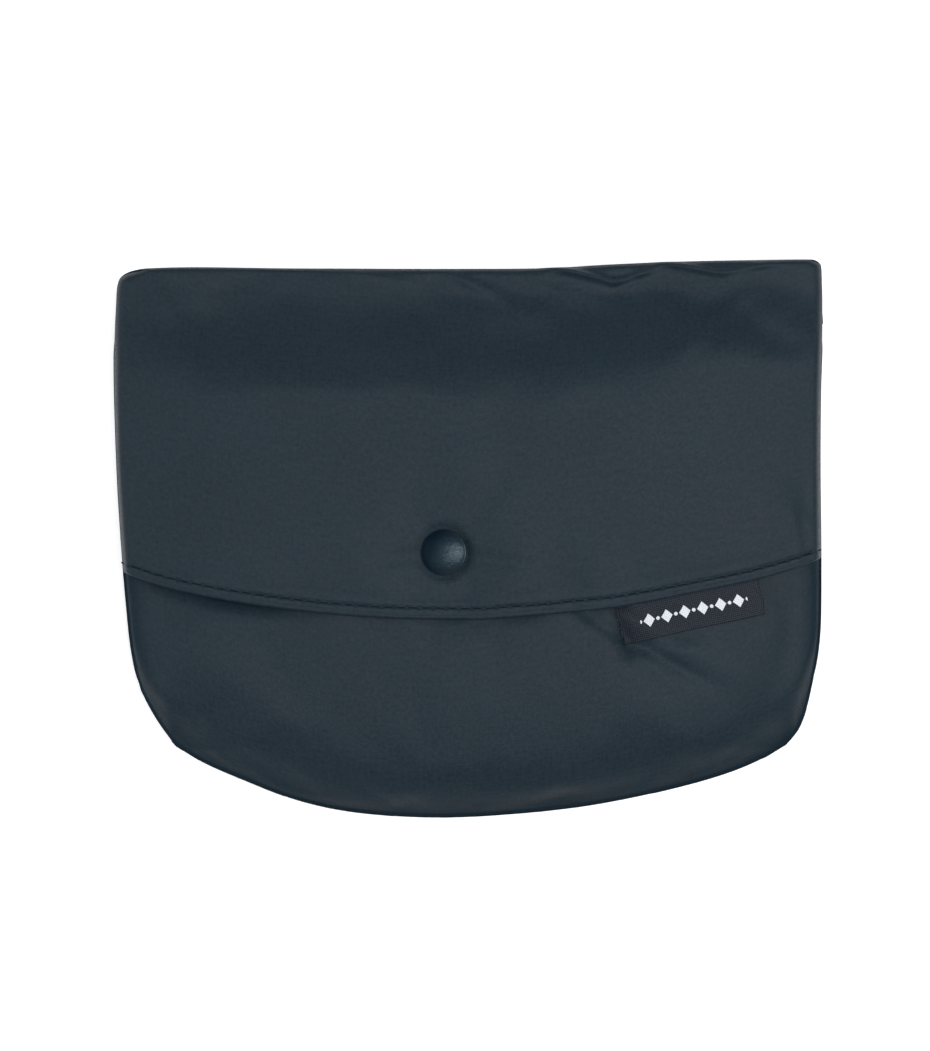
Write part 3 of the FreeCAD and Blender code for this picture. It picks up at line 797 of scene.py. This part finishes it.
def flap_grid():
    """Points of the flap's outer face: rows from the hem to the fold and down the upper half of the spine."""
    inset = HEM_R
    bulge = bell(LEFT_LINE[:, 1] + 6, 9)
    left = LEFT_LINE + np.column_stack([inset - 0.8 * bulge, 0 * bulge])
    right = RIGHT_LINE - np.array([inset, 0])
    left_x = np.interp(HEM_LINE[0, 1] + inset, left[:, 1], left[:, 0])
    right_x = np.interp(HEM_LINE[-1, 1] + inset, right[:, 1], right[:, 0])
    hem = squeezed(HEM_LINE + np.array([0, inset]), left_x, right_x)
    left = np.vstack([hem[:1], left[left[:, 1] > hem[0, 1] + 0.5]])
    right = np.vstack([hem[-1:], right[right[:, 1] > hem[-1, 1] + 0.5]])
    fold = FOLD_ROLL
    top = squeezed(TOP_LINE, left[-1, 0], right[-1, 0])
    stitches = round(length_along(hem)[-1] / STITCH_PITCH)
    u = np.linspace(0, 1, stitches * COLUMNS_PER_STITCH + 1)
    v = graded(115, 0.3, 1.15, growth=1.035)
    plan = patch(left, right, hem, top, u, v)
    # Near the fold the rows close up so that the cloth turns over it in even steps
    to_top = plan[-1:, :, :] - plan
    q = np.clip(np.linalg.norm(to_top, axis=-1) / fold, 0, 1)
    share = np.where(q < 1, (1 - np.cos(q * math.pi / 2)) / np.maximum(q, 1e-6), 1.0)
    plan = plan[-1:, :, :] - to_top * share[..., None]
    x, y = plan[..., 0], plan[..., 1]
    turn = np.where(q < 1, np.sin(q * math.pi / 2), 1.0) - 1.0
    z = flap_top(x, y) + 2.2 * turn
    from_hem = np.linalg.norm(plan - plan[:1], axis=-1) + inset
    held = (from_hem < 4.5) | (q < 1) | (np.hypot(x - SNAP[0], y - SNAP[1]) < 8.5)
    held[:, :3] = True
    held[:, -3:] = True
    settling = settled(np.dstack([plan, z]), held, 0.008, 0.5, 1.1)
    settling *= (smoothstep(3, 10, from_hem) * smoothstep(0.9, 1.0, q))[..., None]
    plan = plan + settling[..., :2]
    z += np.maximum(settling[..., 2], -0.35) + hem_profile(from_hem)
    z += 0.16 * lattice_noise(x, y * 0.2, 2.2, 51) * bell(from_hem - 2.4, 1.2)
    edge = np.dstack([plan, z])[-1]
    bottom = SPINE_MIDDLE_Z - 1.5
    closing = SPINE_LAP - CLOTH_T - 0.05
    down = np.column_stack([0 * edge[:, 0], 0 * edge[:, 1] - closing, bottom - edge[:, 2]])
    rows = [edge + down * share for share in np.linspace(0.14, 1, 7)]
    uv = cloth_uv(np.concatenate([np.dstack([plan, z]), np.array(rows)]))
    # Needle holes along the groove, one at each end of a stitch
    row = int(np.argmin(np.abs(from_hem[:, from_hem.shape[1] // 2] - HEM_STITCH_INSET)))
    for offset, depth in ((-1, 0.3), (0, 0.7), (1, 0.3)):
        z[row + offset, ::COLUMNS_PER_STITCH] -= depth
    return np.concatenate([np.dstack([plan, z]), np.array(rows)]), uv, from_hem, row, len(plan)


def hemmed(p, uv, radius, under, flat_rows):
    """Grid points plus a strip that turns under along the left side, the first row and the right side.

    Past flat_rows, where the cloth goes down the spine, the turn is much tighter. The last of the four
    results is the grid points that the strip starts from.
    """
    rows, columns = p.shape[:2]
    index = np.arange(rows * columns).reshape(rows, columns)
    loop = np.concatenate([index[::-1, 0], index[0, 1:-1], index[:, -1]])
    tight = np.where(np.arange(rows) < flat_rows - 8, 1.0, 0.3)
    tight = np.convolve(np.pad(tight, 4, "edge"), np.ones(9) / 9, "valid")
    tight = np.concatenate([tight[::-1], np.ones(columns - 2), tight])[:, None]
    flat = p.reshape(-1, 3)

    def smoothed(v, reach=6):
        kernel = np.ones(2 * reach + 1) / (2 * reach + 1)
        v = np.stack([np.convolve(np.pad(v[:, k], reach, "edge"), kernel, "valid") for k in range(3)], axis=1)
        return v / np.linalg.norm(v, axis=1, keepdims=True)

    at = flat[loop]
    normal = smoothed(grid_normals(p).reshape(-1, 3)[loop])
    outward = np.cross(smoothed(np.gradient(at, axis=0)), normal)
    outward /= np.linalg.norm(outward, axis=1, keepdims=True)
    r = radius * tight
    strips = []
    lengths = []
    for angle in np.radians(np.linspace(22.5, 180, 8)):
        strips.append(at + outward * r * math.sin(angle) - normal * r * (1 - math.cos(angle)))
        lengths.append(radius * angle)
    for run in under:
        strips.append(at - normal * 2 * r - outward * run * tight)
        lengths.append(radius * math.pi + run)
    uv_at = uv.reshape(-1, 2)[loop]
    points = [flat]
    uvs = [uv.reshape(-1, 2)]
    faces = [grid_quads(rows, columns)]
    previous = loop
    start = len(flat)
    for strip, length in zip(strips, lengths):
        points.append(strip)
        uvs.append(uv_at + outward[:, :2] * length)
        current = np.arange(start, start + len(loop))
        faces.append(np.stack([previous[:-1], current[:-1], current[1:], previous[1:]], axis=1))
        previous = current
        start += len(loop)
    return np.concatenate(points), np.concatenate(faces), np.concatenate(uvs), loop


FLAP_GRID, FLAP_UV, FROM_HEM, STITCH_ROW, FLAT_ROWS = flap_grid()


def flap_outer():
    p = FLAP_GRID
    points, faces, uv, loop = hemmed(p, FLAP_UV, HEM_R, (1.2, 2.6), FLAT_ROWS)
    # Painted shade: the sheen is taken off along the flap's sides and its fold, so they render darker
    painted_gloss = np.full(p.shape[0] * p.shape[1], 0.2)
    from_side = seam_distance(p[:FLAT_ROWS, :, 0], p[:FLAT_ROWS, :, 1])
    from_fold = top_y(p[:FLAT_ROWS, :, 0]) - p[:FLAT_ROWS, :, 1]
    painted_shade = 0.95 * bell(from_side, FLAP_EDGE_PAINTED_SHADE) + bell(from_fold, 1.6)
    painted_gloss[:FROM_HEM.size] = np.minimum(painted_shade, 1).ravel()
    painted_gloss = np.concatenate([painted_gloss, np.tile(painted_gloss[loop], (len(points) - len(painted_gloss)) // len(loop))])
    piece = make_mesh("flap_cloth", points, faces, uv, painted_gloss)
    return thicken(piece, CLOTH_T)


def eased(grid, axis, reach=4):
    """A grid of points averaged along one axis, its ends kept."""
    pads = [(0, 0)] * 3
    pads[axis] = (reach, reach)
    padded = np.pad(grid, pads, "reflect", reflect_type="odd")
    count = grid.shape[axis]
    return sum(np.take(padded, range(k, k + count), axis) for k in range(2 * reach + 1)) / (2 * reach + 1)


def flap_inner(name, depth, step, thickness, trim):
    """A layer inside the flap: the outer face's grid, thinned out and `depth` under it.

    `trim` is how many rows and columns it is set in by, at the hem, the sides and the spine.
    """
    rows, columns = FLAP_GRID.shape[:2]
    smooth = eased(eased(FLAP_GRID, 0), 1)
    last_row = rows - 1 - trim[2]
    keep_rows = sorted({*range(trim[0], last_row, step), last_row})
    keep_columns = sorted({*range(trim[1], columns - trim[1], step), columns - 1 - trim[1]})
    inner = (smooth - grid_normals(smooth) * depth)[np.ix_(keep_rows, keep_columns)]
    return grid_sheet(name, inner, thickness)


# ---- woven tab


def tab_plan(s, t):
    """Plan place on the tab, s along the hem and t down from its root, with slightly uneven cut ends."""
    s = s + 0.25 * np.sin(t * 0.9) * (s / TAB_LENGTH - 0.5) + 0.1 * lattice_noise(s * 0, t, 1.3, 61)
    t = t + 0.12 * np.sin(s * 0.21)
    return TAB_ROOT + s[..., None] * TAB_ALONG + t[..., None] * TAB_DOWN


def tab_height(p, s, t):
    """Height of the tab's upper face, which leaves the hem and comes down towards the front panel."""
    base = front_top(p[..., 0], p[..., 1])
    hang = 1.65 - 0.85 * smoothstep(1, TAB_WIDTH, t)
    corner = 0.8 * bell(s, 6) * smoothstep(-1, 6, t)
    corner += 0.3 * bell(s - TAB_LENGTH, 6) * smoothstep(3, TAB_WIDTH, t)
    return base + hang + corner + 0.18 * np.sin(s * 0.3 + 0.6) * smoothstep(0, 8, t)


def tab():
    """Tape folded double, its two layers held in the hem and its fold at the bottom."""
    s = np.concatenate([[0.0], np.linspace(0.4, TAB_LENGTH - 0.4, 97), [TAB_LENGTH]])
    t = np.linspace(-TAB_UNDER_HEM, TAB_WIDTH, 34)
    ss, tt = np.meshgrid(s, t)
    plan = tab_plan(ss, tt)
    upper = np.dstack([plan, tab_height(plan, ss, tt)])
    radius = 0.34
    down = np.append(TAB_DOWN, 0.0)
    up = np.array([0, 0, 1.0])
    fold = [upper[-1] + radius * (math.sin(a) * down - (1 - math.cos(a)) * up)
            for a in np.radians(np.linspace(25, 180, 7))]
    lower = (upper - 2 * radius * up)[-2::-2]
    p = np.concatenate([upper, np.array(fold), lower])[::-1]
    uv = cloth_uv(p)
    along = np.concatenate([tt[:, 0], TAB_WIDTH + radius * np.radians(np.linspace(25, 180, 7)),
                            2 * TAB_WIDTH + 1 - tt[-2::-2, 0]])[::-1]
    uv[..., 0] = s[None, :]
    uv[..., 1] = along[:, None]
    return grid_sheet("woven_tab", p, TAB_T, uv)


def tab_fringe():
    """Loose warp ends at the tab's two cut ends."""
    rng = np.random.RandomState(62)
    paths = []
    for end, way in ((0.0, -1), (TAB_LENGTH, 1)):
        for t in np.arange(0.4, TAB_WIDTH, 0.21):
            reach = rng.uniform(0.15, 0.75) * (1.0 if rng.rand() > 0.15 else 1.7)
            bend = rng.uniform(-0.35, 0.35)
            lift = rng.uniform(-0.25, 0.15)
            share = np.linspace(-0.25, 1, 5)
            s = end + way * reach * share
            tt = t + bend * np.clip(share, 0, 1) ** 2
            plan = tab_plan(s, tt)
            z = tab_height(plan, s, tt) - 0.15 - 0.34 * rng.rand() + lift * np.clip(share, 0, 1) ** 2
            paths.append(np.column_stack([plan, z]))
    return tubes("tab_fringe", paths, 0.065, sides=5)


# ---- snap and threads


def lathe(name, profile, segments=96, relief=None):
    """A piece turned about the snap's axis from (radius, height) points, lowest radius first or last.

    Its painted gloss mask grows from its left side to its right: a painted highlight on its right side.
    """
    profile = np.array(profile, float)
    angle = np.linspace(0, 2 * math.pi, segments, endpoint=False)
    x = SNAP[0] + profile[:, :1] * np.cos(angle)
    y = SNAP[1] + profile[:, :1] * np.sin(angle)
    z = np.repeat(profile[:, 1:], segments, axis=1)
    if relief is not None:
        z = z + relief(x, y, profile[:, :1] + 0 * angle)
    p = np.dstack([x, y, z])
    ring = np.arange(segments)
    faces = []
    for k in range(len(profile) - 1):
        a = k * segments + ring
        b = k * segments + (ring + 1) % segments
        faces.append(np.stack([a, a + segments, b + segments, b], axis=1))
    quads = np.concatenate(faces)
    caps = [list(ring), list((len(profile) - 1) * segments + ring[::-1])]
    # Painted highlight: the mask rises to the right, where the lacquer is given more shine
    painted_gloss = smoothstep(-5.5, 5.0, x - SNAP[0] - 0.35 * (y - SNAP[1]))
    return make_mesh(name, p, [*quads.tolist(), *caps], np.dstack([x, y]), painted_gloss)


def snap_cap():
    """Domed cap with a rolled rim, hammered on its crown and seated a little aslant, and its flared post."""
    crown = CAP_HIGH[2]
    rim = crown - 2.9
    bead = [(5.6, rim + 0.1), (6.4, rim), (7.1, rim + 0.04), (7.42, rim + 0.2), (CAP_RADIUS, rim + 0.45),
            (7.44, rim + 0.7), (7.3, rim + 0.86), (7.12, rim + 0.96)]
    r = np.linspace(7.0, 0.05, 30)
    shell = [(q, rim + 1.0 + 1.9 * (1 - (q / 7.0) ** 2.2) ** 0.8) for q in r]

    def hammered(x, y, radius):
        dents = lattice_noise(x, y, 1.05, 71) + 0.7 * lattice_noise(x, y, 0.45, 72)
        return 0.04 * dents * smoothstep(7.0, 6.2, radius)

    cap = lathe("snap_cap_shell", bead + shell, relief=hammered)
    lean = math.radians(7.0)
    pivot = Vector((SNAP[0] * MM, SNAP[1] * MM, (rim + 0.2) * MM))
    turn = Matrix.Translation(pivot) @ Matrix.Rotation(-lean, 4, "Y") @ Matrix.Translation(-pivot)
    cap.data.transform(turn)
    foot = CAP_LOW[2]
    flare = [(0.05, foot), (2.3, foot), (2.6, foot + 0.12), (2.6, foot + 0.4), (2.0, foot + 0.5)]
    stem = [(1.9, foot + 0.7), (1.9, rim + 0.6), (0.05, rim + 0.6)]
    return cap, lathe("snap_cap_post", flare + stem, segments=48)


def mouth_threads():
    y = MOUTH_Y - MOUTH_HEM
    line = curve_through([(-105.0, y), (0.0, y - 0.5), (105.0, y)])
    return tubes("mouth_stitches", stitch_paths(line, 0.45, 0.42), 0.26)


def bartack_threads():
    """Dense zigzag over a short line at each end of the mouth."""
    paths = []
    for side in (-1, 1):
        for k in range(16):
            x = side * (103.6 + 0.27 * k)
            t = np.linspace(0, 1, 9)
            plan = np.column_stack([x + 0.25 * side * t, MOUTH_Y - 1.6 - 5.2 * t])
            z = front_top(plan[:, 0], plan[:, 1]) - 0.1 + 0.25 * np.sin(math.pi * t) ** 0.5
            paths.append(np.column_stack([plan, z]))
    return tubes("mouth_bartack_threads", paths, 0.16, sides=5)


def attach_threads():
    """Row of stitches under the back panel that holds the spine's lining."""
    x = np.arange(-98.0, 98.0, STITCH_PITCH)
    t = np.linspace(0, 1, 7)
    y = top_y(x) - 7.0
    z = 0.34 - 0.12 * np.sin(math.pi * t)
    paths = [np.column_stack([a + 3.3 * t, b + 0 * t, z]) for a, b in zip(x, y)]
    return tubes("flap_attach_stitches", paths, 0.22)


def patch_threads():
    angle = np.linspace(0, 2 * math.pi, 90)
    ring = np.column_stack([SNAP[0] + 10 * np.cos(angle), SNAP[1] + 10 * np.sin(angle)])
    return tubes("stud_patch_stitches", stitch_paths(ring, 0.3, 0.35), 0.24)


# ---- materials


class Field:
    """A value that varies over a material; arithmetic on it makes the Math nodes."""

    def __init__(self, tree, socket):
        self.tree = tree
        self.socket = socket

    def made(self, operation, *values):
        node = self.tree.nodes.new("ShaderNodeMath")
        node.operation = operation
        for socket, value in zip(node.inputs, values):
            feed(value, socket)
        return Field(self.tree, node.outputs[0])

    def clamped(self):
        """The same value, held from 0 to 1 by its own Math node."""
        self.socket.node.use_clamp = True
        return self


def operator(operation, turned=False):
    def method(self, *others):
        return self.made(operation, *(others + (self,) if turned else (self,) + others))
    return method


for method_name, operation_name in (("__add__", "ADD"), ("__sub__", "SUBTRACT"), ("__mul__", "MULTIPLY"),
                                    ("__truediv__", "DIVIDE"), ("__mod__", "MODULO"), ("__lt__", "LESS_THAN"),
                                    ("__gt__", "GREATER_THAN"), ("__abs__", "ABSOLUTE"), ("sine", "SINE")):
    setattr(Field, method_name, operator(operation_name))
Field.__rsub__ = operator("SUBTRACT", turned=True)


def feed(value, socket):
    """Link a field into a socket, or set the socket's own number or colour."""
    if isinstance(value, Field):
        value.tree.links.new(value.socket, socket)
    else:
        socket.default_value = value if isinstance(value, (int, float)) else (*value, 1)


def material(name, colour, roughness, **sockets):
    m = bpy.data.materials.new(name)
    m.use_nodes = True
    shader = m.node_tree.nodes["Principled BSDF"]
    feed(colour, shader.inputs["Base Color"])
    feed(roughness, shader.inputs["Roughness"])
    for key, value in sockets.items():
        shader.inputs[key.replace("_", " ")].default_value = value
    return m, m.node_tree, shader


def add(tree, kind, **settings):
    node = tree.nodes.new(kind)
    for key, value in settings.items():
        if key in node.inputs:
            node.inputs[key].default_value = value
        else:
            setattr(node, key, value)
    return node


def in_millimetres(tree, socket):
    scale = add(tree, "ShaderNodeVectorMath", operation="SCALE")
    scale.inputs["Scale"].default_value = 1 / MM
    tree.links.new(socket, scale.inputs[0])
    return Field(tree, scale.outputs[0])


def cloth_coordinates(tree):
    """Lengths along the cloth in millimetres, as u, v and a vector."""
    vector = in_millimetres(tree, add(tree, "ShaderNodeUVMap", uv_map="cloth").outputs[0])
    parts = add(tree, "ShaderNodeSeparateXYZ")
    feed(vector, parts.inputs[0])
    return Field(tree, parts.outputs[0]), Field(tree, parts.outputs[1]), vector


# The painted gloss mask: painted shade on the cloth's rims, painted highlight on the snap cap
def painted_gloss_of(tree):
    return Field(tree, add(tree, "ShaderNodeAttribute", attribute_name="painted_gloss").outputs["Fac"])


def noise(vector, scale, detail=2.0, stretch=None):
    """Noise from 0 to 1; scale is in features per millimetre, and stretch multiplies the coordinates."""
    tree = vector.tree
    if stretch:
        mapping = add(tree, "ShaderNodeMapping", Scale=stretch)
        feed(vector, mapping.inputs[0])
        vector = Field(tree, mapping.outputs[0])
    node = add(tree, "ShaderNodeTexNoise", Scale=scale, Detail=detail)
    feed(vector, node.inputs["Vector"])
    return Field(tree, node.outputs["Fac"])


def mixed(factor, dark, light):
    """A colour between two colours or fields."""
    node = add(factor.tree, "ShaderNodeMix", data_type="RGBA")
    for place, value in ((0, factor), (6, dark), (7, light)):
        feed(value, node.inputs[place])
    return Field(factor.tree, node.outputs[2])


def shades(colour, *shares):
    return [[c * share for c in colour] for share in shares]


def remapped(value, start, end, low, high):
    """A field's values from `start` to `end`, mapped to `low` to `high`."""
    node = add(value.tree, "ShaderNodeMapRange",
               **{"From Min": start, "From Max": end, "To Min": low, "To Max": high})
    feed(value, node.inputs["Value"])
    return Field(value.tree, node.outputs[0])


def bump(shader, height, strength, distance):
    node = add(height.tree, "ShaderNodeBump", Strength=strength, Distance=distance * MM)
    feed(height, node.inputs["Height"])
    height.tree.links.new(node.outputs[0], shader.inputs["Normal"])


def woven(name, colour, pitch, roughness=0.42):
    """Plain-weave fabric: crossing threads, uneven yarn, soft fading, and painted shade on its rims, whose
    sheen is taken off.
    """
    m, tree, shader = material(name, colour, roughness, Specular_IOR_Level=0.5, IOR=1.21)
    u, v, vector = cloth_coordinates(tree)
    wobble = noise(vector, 0.35, 1.0)
    turn = 2 * math.pi / pitch
    threads = ((u + wobble) * turn).sine() * ((v + wobble) * turn).sine()
    slub = noise(vector, 1.6, 1.0, (1.0, 0.07, 1.0)) + noise(vector, 1.6, 1.0, (0.07, 1.0, 1.0))
    fading = noise(vector, 0.03, 3.0)
    grain = noise(vector, 0.8, 4.0)
    tone = (threads * 0.15 + slub * 0.35 + grain * 1.4 + fading * 0.4 - 0.75).clamped()
    base = mixed(tone, *shades(colour, 0.66, 1.34))
    painted_gloss = painted_gloss_of(tree)
    # Painted shade: where the painted gloss mask is high, at the rims, the fold and the mouth, the sheen is
    # taken off so they render darker, and the colour there loses some of its tone variation
    feed((0.5 - painted_gloss * 0.58).clamped(), shader.inputs["Specular IOR Level"])
    feed(mixed((painted_gloss * (slub * 0.5)).clamped(), base, colour), shader.inputs["Base Color"])
    feed(remapped(slub, 0.6, 1.4, roughness - 0.08, roughness + 0.08), shader.inputs["Roughness"])
    bump(shader, threads * 0.5 + slub * 0.9 + grain, 0.55, 0.06)
    return m


def thread_material(name, colour):
    """Twisted sewing thread."""
    m, tree, shader = material(name, colour, 0.7, Specular_IOR_Level=0.03)
    u, v, _ = cloth_coordinates(tree)
    ply = ((u + v) * (2 * math.pi / 0.5)).sine()
    feed(mixed(ply * 0.35 + 0.5, *shades(colour, 0.75, 1.3)), shader.inputs["Base Color"])
    bump(shader, ply, 0.6, 0.05)
    return m


def tab_material():
    """Satin-woven tape with a dotted ground and a row of small plain diamonds and dots."""
    colour = (0.0094, 0.0120, 0.0170)
    m, tree, shader = material("tab_weave", colour, 0.5, Specular_IOR_Level=0.5, IOR=1.17)
    u, v, vector = cloth_coordinates(tree)
    turn = 2 * math.pi / 1.3
    dots = ((u + v) * turn).sine() * ((u - v) * turn).sine()
    tone = dots * 0.45 + noise(vector, 1.7)
    ground = mixed((tone + 0.0).clamped(), *shades(colour, 0.15, 2.6))
    # One diamond and one dot to each pitch, along a line half way down the tape
    pitch = 6.0
    across = abs(v - 6.6)
    place = abs(u % pitch - pitch / 2)
    diamond = (place / 1.9 + across / 2.2) < 1.0
    from_dot = place - pitch / 2
    dot = (from_dot * from_dot + across * across) < 0.36
    inside = (u > 6.0) * (u < 42.0)
    figure = diamond.made("MAXIMUM", diamond, dot) * inside
    white = mixed(tone, (0.42, 0.45, 0.48), (0.66, 0.69, 0.71))
    feed(mixed(figure, ground, white), shader.inputs["Base Color"])
    bump(shader, tone + figure * 0.8, 0.7, 0.08)
    return m


def felt_material():
    m, tree, shader = material("felt", (0.30, 0.31, 0.31), 0.9, Specular_IOR_Level=0.1)
    vector = cloth_coordinates(tree)[2]
    fibres = noise(vector, 0.9, 4.0, (1.0, 0.2, 1.0)) + noise(vector, 0.9, 4.0, (0.2, 1.0, 1.0))
    feed(mixed((fibres - 0.5).clamped(), (0.22, 0.23, 0.23), (0.36, 0.37, 0.37)), shader.inputs["Base Color"])
    bump(shader, fibres, 0.8, 0.1)
    return m


def tape_material():
    """Ribbed binding tape."""
    colour = (0.012, 0.017, 0.021)
    m, tree, shader = material("binding_rib", colour, 0.7, Specular_IOR_Level=0.2)
    rib = (cloth_coordinates(tree)[0] * (2 * math.pi / 0.9)).sine()
    feed(mixed(rib * 0.4 + 0.5, *shades(colour, 0.6, 1.6)), shader.inputs["Base Color"])
    bump(shader, rib, 0.8, 0.12)
    return m


def metal_material(name, colour, roughness, grain, lacquer=0.0):
    """Plated or lacquered metal with fine scratches and uneven polish, in object space."""
    m, tree, shader = material(name, colour, roughness, Metallic=0.0 if lacquer else 1.0, Coat_Weight=lacquer,
                               Coat_Roughness=0.25, Specular_IOR_Level=0.24 if lacquer else 0.5)
    if lacquer:
        shader.inputs["Specular Tint"].default_value = (0.66, 0.88, 1.0, 1)
        # Painted highlight: the lacquer's shine follows the painted gloss mask, dull on the cap's left and
        # glossy on its right
        feed(painted_gloss_of(tree) * 0.44 + 0.04, shader.inputs["Specular IOR Level"])
    vector = in_millimetres(tree, add(tree, "ShaderNodeTexCoord").outputs["Object"])
    both = noise(vector, grain, 5.0) * 0.7 + noise(vector, 1.4, 2.0, (1.0, 9.0, 1.0)) * 0.3
    feed(mixed(both, *shades(colour, 0.55, 1.45)), shader.inputs["Base Color"])
    feed(remapped(both, 0.3, 0.7, roughness - 0.1, roughness + 0.15), shader.inputs["Roughness"])
    bump(shader, both, *((1.0, 0.09) if lacquer else (0.35, 0.04)))
    return m


NAVY = (0.0094, 0.0178, 0.0252)
LINING = (0.0090, 0.0180, 0.0250)
FABRIC = woven("shell_weave", NAVY, 0.42)
FACING = woven("facing_weave", LINING, 0.36, roughness=0.6)
THREAD = thread_material("sewing_thread", (0.003, 0.005, 0.007))
HEM_THREAD = thread_material("hem_thread", (0.006, 0.010, 0.014))
TAB_THREAD = thread_material("tab_thread", (0.05, 0.055, 0.07))
TAB_WEAVE = tab_material()
FELT = felt_material()
TAPE = tape_material()
ENAMEL = metal_material("cap_lacquer", (0.0016, 0.0066, 0.0125), 0.34, 2.4, lacquer=0.01)
NICKEL = metal_material("snap_nickel", (0.34, 0.35, 0.36), 0.34, 0.8)


def finished(piece, mat):
    piece.data.materials.clear()
    piece.data.materials.append(mat)
    return piece


# ---- the model


def riding(piece, mat, slot, body, *nodes):
    finished(piece, mat)
    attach(piece, body)
    if nodes:
        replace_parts(piece, *nodes)
    return piece


def build_panels():
    front = riding(front_panel(), FABRIC, "shell_fabric", "pouch", "front_panel")
    back = finished(back_panel(), FABRIC)
    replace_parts(back, "back_panel")
    facing = finished(spine_facing(), FACING)
    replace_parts(facing, "flap_spine_facing")
    for piece in (back, facing):
        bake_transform(piece)
    tape = riding(seam_tape(), TAPE, "binding_tape", "pouch", "seam_binding")
    doubler = riding(stud_doubler(), FACING, "lining_fabric", "pouch", "stud_patch")
    riding(mouth_threads(), THREAD, "thread", "pouch", "mouth_stitch")
    riding(bartack_threads(), THREAD, "thread", "pouch", "mouth_bartacks")
    riding(attach_threads(), THREAD, "thread", "pouch", "flap_attach_stitch")
    riding(patch_threads(), THREAD, "thread", "pouch", "stud_patch_stitch")


def build_flap():
    outer = finished(flap_outer(), FABRIC)
    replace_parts(outer, "flap_outer", "flap_spine_outer")
    inner = flap_inner("flap_facing_cloth", FLAP_T - FACING_T, 3, FACING_T, (6, 3, 0))
    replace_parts(finished(inner, FACING), "flap_facing")
    middle = flap_inner("flap_interlining_felt", FLAP_T * 0.45, 5, FELT_T, (9, 10, 2))
    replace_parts(finished(middle, FELT), "flap_interlining")
    for piece, flat in ((outer, (0.246, 0.134)), (inner, (0.240, 0.124)), (middle, (0.229, 0.121))):
        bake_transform(piece)


def build_hem_stitches():
    rng = np.random.RandomState(81)
    row = FLAP_GRID[STITCH_ROW]
    paths = []
    for k in range(0, len(row) - COLUMNS_PER_STITCH, COLUMNS_PER_STITCH):
        a = row[k] + np.array([0, rng.uniform(-0.08, 0.08), 0])
        b = row[k + COLUMNS_PER_STITCH] + np.array([0, rng.uniform(-0.08, 0.08), 0])
        a[2] = row[k + 1, 2]
        b[2] = row[k + COLUMNS_PER_STITCH - 1, 2]
        t = np.linspace(0, 1, 9)
        path = a + (b - a) * (0.15 + 0.7 * t[:, None])
        path[:, 2] += -0.28 + 0.36 * np.sin(math.pi * t) ** 0.6
        paths.append(path)
        under = a + (b - a) * (0.07 + 0.86 * t[:, None])
        under[:, 2] -= FLAP_T - 0.25 + 0.3 * np.sin(math.pi * t) ** 0.6
        paths.append(under)
    riding(tubes("hem_stitches", paths, 0.25), HEM_THREAD, "thread", "flap", "flap_topstitch")


def build_tab():
    cloth = finished(tab(), TAB_WEAVE)
    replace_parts(cloth, "label")
    fringe = finished(tab_fringe(), TAB_THREAD)
    for piece in (cloth, fringe):
        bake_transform(piece)


def build_snap():
    for piece in snap_cap():
        riding(piece, ENAMEL, "snap_enamel", "flap", "snap_cap")
    for name in ("snap_socket", "snap_spring", "snap_stud", "snap_stud_post"):
        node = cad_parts[name]
        node.data.materials.clear()
        node.data.materials.append(NICKEL)


build_panels()
build_flap()
build_hem_stitches()
build_tab()
build_snap()


# ---- stage


def area_light(name, place, target, size, power):
    data = bpy.data.lights.new(name, "AREA")
    data.shape = "RECTANGLE"
    data.size, data.size_y = size
    data.energy = power
    light = placed(name, data)
    light.location = place
    light.rotation_euler = (Vector(target) - Vector(place)).to_track_quat("-Z", "Y").to_euler()


def build_stage():
    scene = bpy.context.scene
    mesh = bpy.data.meshes.new("floor")
    reach = 3.0
    mesh.from_pydata([(-reach, -reach, 0), (reach, -reach, 0), (reach, reach, 0), (-reach, reach, 0)], [],
                     [(0, 1, 2, 3)])
    floor = placed("floor", mesh)
    floor.location.z = -0.0003
    white = material("floor_white", (0.97, 0.97, 0.97), 0.9, Emission_Color=(1, 1, 1, 1),
                     Emission_Strength=0.25)
    mesh.materials.append(white[0])
    world = bpy.data.worlds.new("studio")
    scene.world = world
    world.use_nodes = True
    sky = world.node_tree.nodes["Background"]
    sky.inputs[0].default_value = (0.95, 0.97, 1.0, 1)
    sky.inputs[1].default_value = 0.40
    area_light("overhead_right", (0.85, -0.03, 1.4), (0.85, -0.03, 0), (2.0, 0.5), 25.0)
    area_light("fill_left", (-2.0, 0.1, 1.6), (0, 0, 0), (3.0, 3.0), 46.0)
    camera_data = bpy.data.cameras.new("camera")
    camera_data.lens = 100
    camera_data.sensor_width = 36
    camera = placed("camera", camera_data)
    camera.location = (-0.0012, 0.0045, 0.983)
    scene.camera = camera
    scene.view_settings.view_transform = "Standard"


build_stage()
